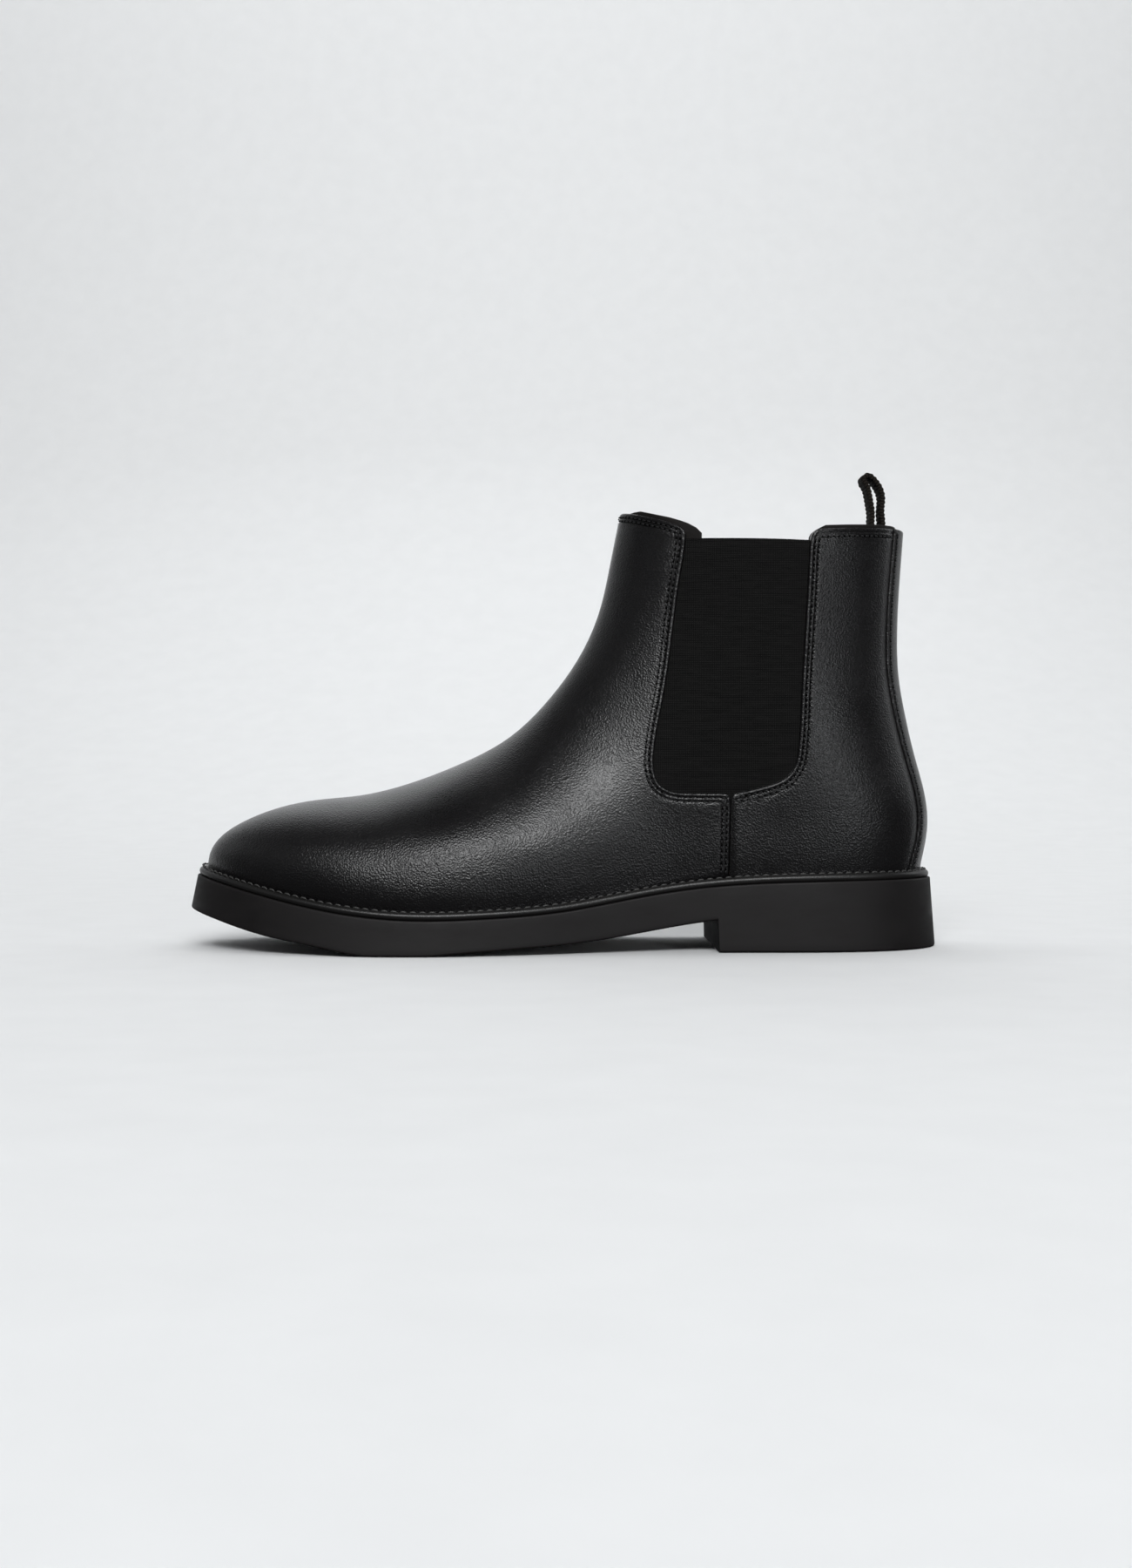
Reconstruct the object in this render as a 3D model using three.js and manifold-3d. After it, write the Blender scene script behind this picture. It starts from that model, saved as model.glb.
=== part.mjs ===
// A left chelsea boot, built the way the real one is put together: a leather upper of
// panels with elastic side gussets, its stiffeners and linings, and a welted rubber sole.
// Millimetres. +Z is up, the toe points to -X, the outer (lateral) side faces -Y, and the
// origin is on the ground in the middle of the boot's box.

import * as THREE from "three";
import { mergeVertices } from "three/addons/utils/BufferGeometryUtils.js";
import Module from "manifold-3d";

const wasm = await Module();
wasm.setup();

// ---------------------------------------------------------------- driving dimensions

const LATERAL = -1; // the side that faces -Y
const MEDIAL = 1;

const CLEARANCE = 0.3; // gap kept between two pieces that touch
const LINING_CLEARANCE = 0.55;
const WELT_CLEARANCE = 0.5;

// Upper: thickness of each layer, from the outside in.
const LEATHER = 1.5;
const STIFFENER = 1.1; // toe puff, heel counter, elastic gusset
const INTERLINING = 0.8;
const LINING = 1.0;
const HEEL_GRIP = 0.8;

// Sole.
const WELT_THICKNESS = 3.0;
const WELT_OUTSET = 3.3; // welt edge beyond the upper
const LIP_OUTSET = 4.0; // outsole edge beyond the upper
const HEEL_BREAST_X = 60; // front face of the heel block
const HEEL_PLATE_DROP = 13; // sole plate thickness over the heel block's front
const TREAD_DEPTH = 1.6;
const GROOVE_WIDTH = 2.6;
const GROOVE_PITCH = 7.5;
const HEEL_GROOVE_PITCH = 9;
const FIRST_GROOVE_X = -125;
const LAST_GROOVE_X = -42;
const BREAST_TO_GROOVE = 12; // heel breast to the middle of the first heel groove
const GROOVE_MARGIN = 9; // groove end to sole edge
const CORE_INSET = 14; // heel core outline inside the upper's outline
const CORE_FLOOR = 7; // rubber under the heel core
const FILLER_THICKNESS = 2.1;
const INSOLE_THICKNESS = 2.2;
const SOCK_THICKNESS = 1.2;
const HEEL_PAD_THICKNESS = 2.6;
const HEEL_PAD_FROM_X = 74;

// Steel shank.
const SHANK_FROM_X = -8;
const SHANK_TO_X = 92;
const SHANK_WIDTH = 14;
const SHANK_THICKNESS = 1.2;

// Heel nails.
const NAIL_RADIUS = 0.9;
const NAIL_HEAD_RADIUS = 2.2;
const NAIL_HEAD_THICKNESS = 0.8;
const NAIL_LENGTH = 15;
const NAIL_INSET = 9; // nail axis inside the upper's outline
const NAIL_ANGLES = [0.35, 0.68, 1, 0.68, 0.35]; // share of the way from breast to heel tip
const NAIL_SIDES = [LATERAL, LATERAL, LATERAL, MEDIAL, MEDIAL];

// Pull loop: one flat woven tape, doubled over.
const TAPE_WIDTH = 10;
const TAPE_THICKNESS = 1.8;
const LOOP_HINGE = [127.2, 169.0]; // x and z of the line the loop folds about
const LOOP_FOOT_RADIUS = 2.9; // bend of the tape about that line
// The tape above the hinge, from the rear leg over the top to the front leg.
const LOOP_LINE = [
  [128.9, 175.1],
  [129.2, 181.2],
  [127.6, 185.6],
  [123.6, 189.4],
  [121.6, 188.1],
  [123.2, 184.4],
  [123.5, 180],
  [124.0, 174.2],
];
const LOOP_TAIL_GAP = 0.5; // sewn-in tails to the heel grip
const TAIL_BOW = 1.0; // how far the grip curves forward within the tape's width
const LOOP_TAIL_Z = 143; // lower end of the sewn-in tails

// Counter strip down the back.
const BACKSTAY_THICKNESS = 1.2;
const BACKSTAY_TOP_HALF_WIDTH = 13;
const BACKSTAY_FOOT_HALF_WIDTH = 17;
const SKIVE_RUN = 8; // length over which the quarters drop under the strip

// ---------------------------------------------------------------- small maths

const lerp = (a, b, t) => a + (b - a) * t;
const clamp01 = (t) => Math.min(1, Math.max(0, t));
const ease = (t) => clamp01(t) ** 2 * (3 - 2 * clamp01(t));

// Natural cubic spline through (xs, ys), straight beyond its ends.
function spline(xs, ys) {
  const n = xs.length - 1;
  const h = Array.from({ length: n }, (_, i) => xs[i + 1] - xs[i]);
  const slope = h.map((step, i) => (ys[i + 1] - ys[i]) / step);
  const diagonal = Array(n + 1).fill(1);
  const second = Array(n + 1).fill(0);
  for (let i = 1; i < n; i++) {
    const factor = i > 1 ? h[i - 1] / diagonal[i - 1] : 0;
    diagonal[i] = 2 * (h[i - 1] + h[i]) - factor * (i > 1 ? h[i - 1] : 0);
    second[i] = 6 * (slope[i] - slope[i - 1]) - factor * second[i - 1];
  }
  for (let i = n - 1; i > 0; i--) second[i] = (second[i] - h[i] * second[i + 1]) / diagonal[i];
  const endSlope = [
    slope[0] - (h[0] * second[1]) / 6,
    slope[n - 1] + (h[n - 1] * second[n - 1]) / 6,
  ];
  return (x) => {
    if (x <= xs[0]) return ys[0] + endSlope[0] * (x - xs[0]);
    if (x >= xs[n]) return ys[n] + endSlope[1] * (x - xs[n]);
    let i = 0;
    while (x > xs[i + 1]) i++;
    const a = (xs[i + 1] - x) / h[i];
    const b = 1 - a;
    const bend = ((a ** 3 - a) * second[i] + (b ** 3 - b) * second[i + 1]) * (h[i] ** 2 / 6);
    return a * ys[i] + b * ys[i + 1] + bend;
  };
}

// Smooth path through points, run by its chord length. A tight path follows sharp corners
// without swinging wide of them.
function pathThrough(points, { tight = false } = {}) {
  const run = [0];
  for (const [i, [x, z]] of points.slice(1).entries()) {
    run.push(run[i] + Math.hypot(x - points[i][0], z - points[i][1]));
  }
  const curve = new THREE.CatmullRomCurve3(points.map(([x, z]) => new THREE.Vector3(x, 0, z)), false, "centripetal");
  const x = spline(run, points.map((p) => p[0]));
  const z = spline(run, points.map((p) => p[1]));
  const tightAt = (t) => {
    const i = Math.max(0, Math.min(run.length - 2, run.findIndex((r) => r > t) - 1));
    const last = t >= run.at(-1) ? run.length - 2 : i;
    const share = clamp01((t - run[last]) / (run[last + 1] - run[last]));
    const p = curve.getPoint((last + share) / (run.length - 1));
    return [p.x, p.z];
  };
  return { length: run.at(-1), run, at: tight ? tightAt : (t) => [x(t), z(t)] };
}

// ---------------------------------------------------------------- the upper's form

// Centre-line profile from the toe tip over the instep to above the collar (x, z), and the
// point on the base or back that each one is paired with: the sections fan out between them.
const STATIONS = [
  { front: [-144.3, 26.0], base: [-144.3, 15] },
  { front: [-143.3, 33.0], base: [-143.3, 18] },
  { front: [-142.6, 37.0], base: [-142.6, 20] },
  { front: [-139.2, 42.6], base: [-139.2, 20] },
  { front: [-130.0, 49.2], base: [-130.0, 19] },
  { front: [-115.0, 55.2], base: [-115.0, 16] },
  { front: [-100.0, 58.3], base: [-99.5, 13] },
  { front: [-82.0, 60.2], base: [-80.0, 11] },
  { front: [-64.4, 64.3], base: [-59.0, 10] },
  { front: [-42.0, 72.7], base: [-24.0, 11] },
  { front: [-22.0, 83.4], base: [14.0, 14] },
  { front: [-5.0, 99.8], base: [68.0, 19] },
  { front: [6.4, 115.7], base: [128.0, 26] },
  { front: [14.5, 133.5], base: [148.0, 66] },
  { front: [19.3, 154.0], base: [141.0, 117] },
  { front: [23.3, 174.2], base: [139.0, 166.5] },
  { front: [25.2, 184.0], base: [139.5, 178] },
];
const frontProfile = pathThrough(STATIONS.map((s) => s.front));
const baseX = spline(frontProfile.run, STATIONS.map((s) => s.base[0]));
const baseZ = spline(frontProfile.run, STATIONS.map((s) => s.base[1]));

// Back profile: x of the centre line at each height.
const backX = spline(
  [20, 31, 41, 51, 62, 76, 92, 108, 124, 145, 166.5, 184],
  [144.6, 144.8, 146.8, 147.7, 146.3, 142.6, 138.9, 136.2, 135.6, 136.5, 138.1, 139.2],
);

// Height of the feather line, where the upper meets the welt, above the ground.
const lipZ = spline(
  [-148, -120, -90, -60, -30, 0, 30, 60, 95, 150],
  [29.9, 23.1, 16.7, 13.4, 13.8, 16.2, 21.3, 25.2, 26.9, 27.6],
);
const featherZ = (x) => lipZ(x) + WELT_THICKNESS;
const footZ = (x) => lipZ(x) + CLEARANCE; // lower edge of the upper, down behind the welt

// Outline of the upper at the feather line: half width = spread * sqrt(1 - s^2), where s
// runs from -1 at the toe tip to 1 at the heel tip.
const OUTLINE_MIDDLE = 0.6;
const OUTLINE_HALF_LENGTH = 144.0;
const SPREAD_X = [-143.4, -110, -65, -30, 10, 45, 90, 130, 144.6];
const spread = {
  [LATERAL]: spline(SPREAD_X, [60, 61, 57.5, 50.7, 40.7, 35.8, 42, 54, 58.8]),
  [MEDIAL]: spline(SPREAD_X, [58, 57, 51.5, 43.8, 33.6, 31.6, 40.3, 54, 58.8]),
};

// Leg of the boot: half width at each height, and how far it takes to round off at the back.
const legHalfWidth = spline([25, 60, 90, 120, 166, 184], [34, 34.5, 33.8, 32.6, 31.6, 31.2]);
const LEG_BACK_RUN = 58;
const FRONT_RUN = 64; // longest distance over which the front rounds off
const LEG_BLEND_FROM_Z = 38;
const LEG_BLEND_TO_Z = 100;
const BELLY = 0.035; // how much wider the upper is just above the welt
const BELLY_RISE = 6;
const toeFullness = spline([0, 90, 180, 330], [2.7, 2.4, 2.15, 2.0]);

// The section that passes through a point of the side view, as a run along the front profile.
function stationThrough(x, z) {
  let low = 0;
  let high = frontProfile.length;
  for (let i = 0; i < 34; i++) {
    const middle = (low + high) / 2;
    const [fx, fz] = frontProfile.at(middle);
    const turn = (baseX(middle) - fx) * (z - fz) - (baseZ(middle) - fz) * (x - fx);
    if (turn > 0) low = middle;
    else high = middle;
  }
  return (low + high) / 2;
}

// Square of the upper's half width at a point of the side view; negative outside its outline.
function widthSquared(x, z, side) {
  const station = stationThrough(x, z);
  const [fx, fz] = frontProfile.at(station);
  const toBase = [baseX(station) - fx, baseZ(station) - fz];
  const inward = ((x - fx) * toBase[0] + (z - fz) * toBase[1]) / Math.hypot(...toBase);
  const height = fz - featherZ(fx);
  const reach = -Math.log(Math.exp(-0.15 * height) + Math.exp(-0.15 * FRONT_RUN)) / 0.15;
  const front = 1 - (1 - Math.min(1, inward / Math.max(reach, 1))) ** toeFullness(station);

  const bulge = 1 + BELLY * (1 - Math.exp(-Math.max(0, z - featherZ(x)) / BELLY_RISE));
  const shift = (OUTLINE_MIDDLE + OUTLINE_HALF_LENGTH - backX(z)) * ease((x - 50) / 70);
  const along = (x + shift - OUTLINE_MIDDLE) / OUTLINE_HALF_LENGTH;
  const foot = (spread[side](x + shift) * bulge) ** 2 * (1 - along ** 2);
  const fromBack = Math.min(1, (backX(z) - x) / LEG_BACK_RUN);
  const leg = legHalfWidth(z) ** 2 * (1 - (1 - fromBack) ** 2);
  const share = ease((z - LEG_BLEND_FROM_Z) / (LEG_BLEND_TO_Z - LEG_BLEND_FROM_Z));
  return lerp(foot, leg, share) * front;
}

// Point of the upper's outer surface over (x, z) of the side view, moved inwards by depth.
function surfacePoint(x, z, side, depth) {
  const y = side * Math.sqrt(Math.max(0, widthSquared(x, z, side)));
  const h = 0.05;
  const normal = new THREE.Vector3(
    widthSquared(x - h, z, side) - widthSquared(x + h, z, side),
    4 * h * y,
    widthSquared(x, z - h, side) - widthSquared(x, z + h, side),
  ).normalize();
  return new THREE.Vector3(x, y, z).addScaledVector(normal, -depth);
}

// Half width of the counter strip at a height.
const backstayHalfWidth = (z) =>
  lerp(BACKSTAY_FOOT_HALF_WIDTH, BACKSTAY_TOP_HALF_WIDTH, clamp01((z - 30) / 136));

// How far the layers sink near the back seam, to pass under the counter strip.
function underStrip(x, z, side) {
  if (x < 90) return 0;
  const y = Math.sqrt(Math.max(0, widthSquared(x, z, side)));
  const outside = (y - backstayHalfWidth(z) - 1) / SKIVE_RUN;
  return (BACKSTAY_THICKNESS + CLEARANCE) * (1 - ease(outside));
}

// ---------------------------------------------------------------- seams in the side view

const SEAM_X = 65; // side seam between vamp and quarter
const GUSSET_FOOT_Z = 61.8;

// Edge of the vamp: up the side seam, round the gusset, over its corner and along the collar.
const vampEdge = pathThrough([
  [SEAM_X - 0.7, footZ(SEAM_X)],
  [SEAM_X - 0.2, 46],
  [SEAM_X, GUSSET_FOOT_Z - 3.4],
  [SEAM_X - 0.4, GUSSET_FOOT_Z - 1.2],
  [SEAM_X - 2.6, GUSSET_FOOT_Z - 0.7],
  [53, GUSSET_FOOT_Z - 0.6],
  [42.2, GUSSET_FOOT_Z + 0.2],
  [37.2, GUSSET_FOOT_Z + 3.4],
  [35.3, GUSSET_FOOT_Z + 10],
  [36.0, 82],
  [40.4, 106],
  [44.8, 140],
  [47.9, 160.5],
  [47.4, 164.8],
  [42.6, 167.6],
  [33, 170.9],
  [23.3, 174.2],
], { tight: true });
const VAMP_EDGE_STOPS = [0, 1, 2, 3, 4, 5, 6, 7, 8, 9, 10, 10.6, 11.2, 12, 13, 14, 15, 15.55, 15.87, 16];
const VAMP_COLLAR_STOP = 12; // stop at which the edge turns forward along the collar
// Edge of the quarter: up the same seam, round the back of the gusset to the collar.
const quarterEdge = pathThrough([
  [SEAM_X - 0.3, footZ(SEAM_X)],
  [SEAM_X + 0.2, 46],
  [SEAM_X + 0.4, GUSSET_FOOT_Z - 3.4],
  [SEAM_X + 0.8, GUSSET_FOOT_Z - 1.1],
  [SEAM_X + 3, GUSSET_FOOT_Z - 0.5],
  [75, GUSSET_FOOT_Z + 1.1],
  [82.4, GUSSET_FOOT_Z + 3.2],
  [87.4, GUSSET_FOOT_Z + 6],
  [90.6, GUSSET_FOOT_Z + 11],
  [92.0, 82],
  [93.3, 103],
  [95.6, 138],
  [96.9, 159.5],
  [97.6, 162.2],
  [99.4, 163.9],
  [104.0, 164.6],
], { tight: true });
const QUARTER_EDGE_STOPS = [0, 1, 2, 3, 4, 5, 6, 7, 8, 9, 10, 10.6, 11.3, 12, 13, 14, 15];
const COLLAR_FRONT = STATIONS.find((s) => s.front[1] > 174).front;
const COLLAR_BACK_Z = 166.6;
const LINING_RISE = 1.8; // how far the front lining stands above the vamp
const backHeights = [footZ(144.7), 40, 51, 62, 76, 92, 108, 124, 145, COLLAR_BACK_Z];
const backProfile = pathThrough(backHeights.map((z) => [backX(z), z]));

// Run along a path at a stop, where stop 2.5 is half way from point 2 to point 3.
const runAt = (path, stop) => {
  const i = Math.min(path.run.length - 2, Math.floor(stop));
  return lerp(path.run[i], path.run[i + 1], stop - i);
};

// The vamp in the side view: sections run up from the foot line to the front profile. Those
// near the toe are straight, and the last one is the vamp's rear edge.
const collarRun = frontProfile.run[STATIONS.findIndex((s) => s.front === COLLAR_FRONT)];
const VAMP_SECTIONS = 18;
const crestRun = spline([0, 0.06, 0.2, 0.42, 0.7, 1], [5, 11, 30, 72, 147, collarRun]);
const TOE_TIP_X = OUTLINE_MIDDLE - OUTLINE_HALF_LENGTH;
function vampPoint(section, column, rise = 0) {
  const u = section / VAMP_SECTIONS;
  const angle = 1.995 * (1 - (1 - u) ** 1.25);
  const [footEndX] = vampEdge.at(0);
  const reach = (1 - Math.cos(angle)) / (1 - Math.cos(1.995));
  const footX = lerp(TOE_TIP_X, footEndX, reach);
  const stop = VAMP_EDGE_STOPS[column];
  const edge = vampEdge.at(runAt(vampEdge, stop));
  const share = clamp01(runAt(vampEdge, stop) / vampEdge.length);
  const bendFrom = lerp(0.3, 0.78, clamp01((stop - VAMP_COLLAR_STOP + 2) / 3));
  const bend = ease((u - bendFrom) / (1 - bendFrom));
  const even = Math.sin(((column / (VAMP_EDGE_STOPS.length - 1)) * Math.PI) / 2);
  const v = lerp(even, share, bend);
  const crest = section === 0 ? [footX, footZ(footX)] : frontProfile.at(Math.min(crestRun(u), collarRun));
  const [start, end] = [vampEdge.at(0), vampEdge.at(vampEdge.length)];
  const onCollar = clamp01((stop - VAMP_COLLAR_STOP) / 2);
  return [
    lerp(footX, crest[0], v) + bend * (edge[0] - lerp(start[0], end[0], share)),
    lerp(footZ(footX), crest[1], v) + bend * (edge[1] - lerp(start[1], end[1], share)) + rise * onCollar,
  ];
}

// The quarter in the side view: rows run back from its front edge to the back profile.
const QUARTER_ROWS = QUARTER_EDGE_STOPS.length - 1;
const QUARTER_COLUMNS = 9;
const backRun = spline([0, 3, 8, 11, QUARTER_ROWS], [0, 22, 46, 92, backProfile.length]);
function quarterPoint(row, column) {
  const t = Math.sin(((column / QUARTER_COLUMNS) * Math.PI) / 2);
  const near = quarterEdge.at(runAt(quarterEdge, QUARTER_EDGE_STOPS[row]));
  const far = backProfile.at(Math.min(backRun(row), backProfile.length));
  const x = lerp(near[0], far[0], t);
  const straight = lerp(quarterEdge.at(0)[1], backProfile.at(0)[1], t);
  const sag = (1 - row / QUARTER_ROWS) ** 4;
  return [x, lerp(near[1], far[1], t) + sag * (footZ(x) - straight)];
}

// ---------------------------------------------------------------- geometry helpers

// Closed shell from two matching grids of points, the outer one facing out.
function closedShell(outer, inner) {
  const rows = outer.length;
  const columns = outer[0].length;
  const positions = [];
  for (const grid of [outer, inner]) grid.forEach((row) => row.forEach((p) => positions.push(p.x, p.y, p.z)));
  const index = [];
  const at = (layer, r, c) => layer * rows * columns + r * columns + c;
  const quad = (a, b, c, d) => index.push(a, b, c, a, c, d);
  for (let r = 0; r < rows - 1; r++)
    for (let c = 0; c < columns - 1; c++) {
      quad(at(0, r, c), at(0, r, c + 1), at(0, r + 1, c + 1), at(0, r + 1, c));
      quad(at(1, r, c), at(1, r + 1, c), at(1, r + 1, c + 1), at(1, r, c + 1));
    }
  for (let c = 0; c < columns - 1; c++) {
    quad(at(1, 0, c), at(1, 0, c + 1), at(0, 0, c + 1), at(0, 0, c));
    quad(at(0, rows - 1, c), at(0, rows - 1, c + 1), at(1, rows - 1, c + 1), at(1, rows - 1, c));
  }
  for (let r = 0; r < rows - 1; r++) {
    quad(at(0, r, 0), at(0, r + 1, 0), at(1, r + 1, 0), at(1, r, 0));
    quad(at(0, r + 1, columns - 1), at(0, r, columns - 1), at(1, r, columns - 1), at(1, r + 1, columns - 1));
  }
  return facingOut(positions, index);
}

// A band that closes on itself, swept through rings of points; the last ring is the first.
function closedBand(rings) {
  const positions = rings.flat().flatMap((p) => [p.x, p.y, p.z]);
  const index = [];
  const corners = rings[0].length;
  for (let i = 0; i < rings.length - 1; i++)
    for (let j = 0; j < corners; j++) {
      const next = (j + 1) % corners;
      const [a, b] = [i * corners + j, i * corners + next];
      index.push(a, b, b + corners, a, b + corners, a + corners);
    }
  return facingOut(positions, index);
}

// Merges coincident points, drops the faces that collapse, and turns the faces outwards.
function facingOut(positions, index) {
  const raw = new THREE.BufferGeometry();
  raw.setAttribute("position", new THREE.Float32BufferAttribute(positions, 3));
  raw.setIndex(index);
  const merged = mergeVertices(raw, 1e-3);
  const found = merged.index.array;
  const kept = [];
  let volume = 0;
  const points = [new THREE.Vector3(), new THREE.Vector3(), new THREE.Vector3()];
  for (let i = 0; i < found.length; i += 3) {
    const [a, b, c] = [found[i], found[i + 1], found[i + 2]];
    if (a === b || b === c || a === c) continue;
    kept.push(a, b, c);
    points.forEach((p, j) => p.fromBufferAttribute(merged.attributes.position, found[i + j]));
    volume += points[0].dot(points[1].cross(points[2]));
  }
  if (volume < 0) for (let i = 0; i < kept.length; i += 3) [kept[i], kept[i + 1]] = [kept[i + 1], kept[i]];
  merged.setIndex(kept);
  return merged;
}

// Whole numbers from one to another, either way, both included.
const span = (from, to) =>
  Array.from({ length: Math.abs(to - from) + 1 }, (_, i) => from + i * Math.sign(to - from));

// A layer of the upper between two depths. lines lists the rows of the shell, each a list of
// [x, z, side] in the side view.
function layer(lines, depth, thickness, { sink = false } = {}) {
  const grid = (d) =>
    lines.map((line) =>
      line.map(([x, z, side]) => surfacePoint(x, z, side, d + (sink ? underStrip(x, z, side) : 0))),
    );
  return closedShell(grid(depth), grid(depth + thickness));
}

const onSide = (points, side) => points.map(([x, z]) => [x, z, side]);
// A line that runs up one side, over the middle and down the other.
const wrapped = (points) => [...onSide(points, LATERAL), ...onSide(points.slice(0, -1).reverse(), MEDIAL)];

// Point of the sole outline: angle runs from 0 at the toe tip to pi at the heel tip.
function outlinePoint(angle, side, outset) {
  const place = (a) => {
    const x = OUTLINE_MIDDLE - OUTLINE_HALF_LENGTH * Math.cos(a);
    return new THREE.Vector2(x, side * spread[side](x) * Math.sin(a));
  };
  const step = 1e-3;
  const along = place(angle + step).sub(place(angle - step)).normalize();
  const outward = new THREE.Vector2(-side * along.y, side * along.x);
  return place(angle).addScaledVector(outward, outset);
}

// Slab under or inside the boot. levels run from the top down, each {outset, z}, where outset
// may depend on x; the slab spans the angles from the toe side to the heel side.
function slab(levels, { from = 0, to = Math.PI, steps = 30 } = {}) {
  const positions = [];
  const index = [];
  const ring = levels.length * 2;
  for (let i = 0; i <= steps; i++) {
    const angle = lerp(from, to, i / steps);
    const edge = (side) =>
      levels.map(({ outset, z }) => {
        const x = outlinePoint(angle, side, 0).x;
        const p = outlinePoint(angle, side, typeof outset === "function" ? outset(x) : outset);
        return [p.x, p.y, z(p.x)];
      });
    for (const p of [...edge(LATERAL), ...edge(MEDIAL).reverse()]) positions.push(...p);
  }
  const at = (i, j) => i * ring + (j % ring);
  for (let i = 0; i < steps; i++)
    for (let j = 0; j < ring; j++)
      index.push(at(i, j), at(i + 1, j), at(i + 1, j + 1), at(i, j), at(i + 1, j + 1), at(i, j + 1));
  for (let j = 1; j < levels.length; j++)
    for (const [i, flip] of [[0, false], [steps, true]]) {
      const face = [at(i, j - 1), at(i, j), at(i, ring - 1 - j), at(i, ring - j)];
      if (flip) face.reverse();
      index.push(face[0], face[1], face[2], face[0], face[2], face[3]);
    }
  return facingOut(positions, index);
}

// ---------------------------------------------------------------- solids for booleans

function toSolid(geometry) {
  const bare = new THREE.BufferGeometry();
  bare.setAttribute("position", geometry.getAttribute("position").clone());
  if (geometry.index) bare.setIndex(geometry.index.clone());
  const merged = mergeVertices(bare, 1e-4);
  const mesh = new wasm.Mesh({
    numProp: 3,
    vertProperties: merged.attributes.position.array,
    triVerts: new Uint32Array(merged.index.array),
  });
  return new wasm.Manifold(mesh);
}

function toGeometry(solid) {
  const { vertProperties, triVerts } = solid.getMesh();
  const geometry = new THREE.BufferGeometry();
  geometry.setAttribute("position", new THREE.Float32BufferAttribute(vertProperties, 3));
  geometry.setIndex(Array.from(triVerts));
  return geometry;
}

const cut = (geometry, tools) =>
  toGeometry(tools.reduce((solid, tool) => solid.subtract(toSolid(tool)), toSolid(geometry)));

// ---------------------------------------------------------------- materials and assembly

const looks = {
  leather: new THREE.MeshStandardMaterial({ color: 0x17171a, roughness: 0.42, metalness: 0 }),
  elastic: new THREE.MeshStandardMaterial({ color: 0x1a1b1b, roughness: 0.9, metalness: 0 }),
  rubber: new THREE.MeshStandardMaterial({ color: 0x232223, roughness: 0.62, metalness: 0 }),
  welt: new THREE.MeshStandardMaterial({ color: 0x141314, roughness: 0.35, metalness: 0 }),
  lining: new THREE.MeshStandardMaterial({ color: 0x2a2320, roughness: 0.8, metalness: 0 }),
  tape: new THREE.MeshStandardMaterial({ color: 0x1d1b19, roughness: 0.95, metalness: 0 }),
  board: new THREE.MeshStandardMaterial({ color: 0x9c7a54, roughness: 0.9, metalness: 0 }),
  backer: new THREE.MeshStandardMaterial({ color: 0x8b8478, roughness: 0.95, metalness: 0 }),
  cork: new THREE.MeshStandardMaterial({ color: 0xa57c4f, roughness: 0.95, metalness: 0 }),
  foam: new THREE.MeshStandardMaterial({ color: 0x3a3a3c, roughness: 0.95, metalness: 0 }),
  steel: new THREE.MeshStandardMaterial({ color: 0x9a9da1, roughness: 0.35, metalness: 1 }),
};

const boot = new THREE.Group();

function add(name, geometry, material) {
  const mesh = new THREE.Mesh(geometry, looks[material]);
  mesh.name = name;
  boot.add(mesh);
  return mesh;
}

// ---------------------------------------------------------------- upper

const STIFFENER_DEPTH = LEATHER + CLEARANCE;
const LINING_DEPTH = STIFFENER_DEPTH + STIFFENER + LINING_CLEARANCE;
const GRIP_DEPTH = LINING_DEPTH + LINING + CLEARANCE;
const PUFF_SECTIONS = 8;
const BACKER_SECTIONS = 15;
const COUNTER_ROWS = 8;
const BACK_SEAM = 0.07; // how far each quarter stops short of the back, in columns

const VAMP_TOP_COLUMN = VAMP_EDGE_STOPS.length - 1;

// Lines of the vamp between two sections, from a column up over the crest.
function vampLines(fromSection, toSection, { fromColumn = 0, rise = 0 } = {}) {
  return span(fromSection, toSection).map((section) =>
    wrapped(span(fromColumn, VAMP_TOP_COLUMN).map((column) => vampPoint(section, column, rise))),
  );
}

// Lines of one quarter; the last column stops short of the back seam.
function quarterLines(side, { fromRow = 0, toRow = QUARTER_ROWS, fromColumn = 0 } = {}) {
  const columns = span(fromColumn, QUARTER_COLUMNS).map((c) => Math.min(c, QUARTER_COLUMNS - BACK_SEAM));
  return span(fromRow, toRow).map((row) => onSide(columns.map((c) => quarterPoint(row, c)), side));
}

// Lines that run from one quarter round the back to the other.
function heelLines({ fromRow, toRow, fromColumn }) {
  return span(fromRow, toRow).map((row) =>
    wrapped(span(fromColumn, QUARTER_COLUMNS).map((column) => quarterPoint(row, column))),
  );
}

function addVamp() {
  add("vamp", layer(vampLines(0, VAMP_SECTIONS), 0, LEATHER), "leather");
  add("toe_puff", layer(vampLines(0, PUFF_SECTIONS), STIFFENER_DEPTH, STIFFENER), "board");
  add("vamp_backer", layer(vampLines(PUFF_SECTIONS + 1, BACKER_SECTIONS), STIFFENER_DEPTH, STIFFENER), "backer");
  const collar = vampLines(VAMP_SECTIONS - 1, VAMP_SECTIONS, { fromColumn: VAMP_TOP_COLUMN - 4 });
  add("collar_tape_front", layer(collar, STIFFENER_DEPTH, STIFFENER), "backer");
  const raised = vampLines(VAMP_SECTIONS, VAMP_SECTIONS, { rise: LINING_RISE });
  const lining = [...vampLines(0, VAMP_SECTIONS), ...raised];
  add("vamp_lining", layer(lining, LINING_DEPTH, LINING), "lining");
}

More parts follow.
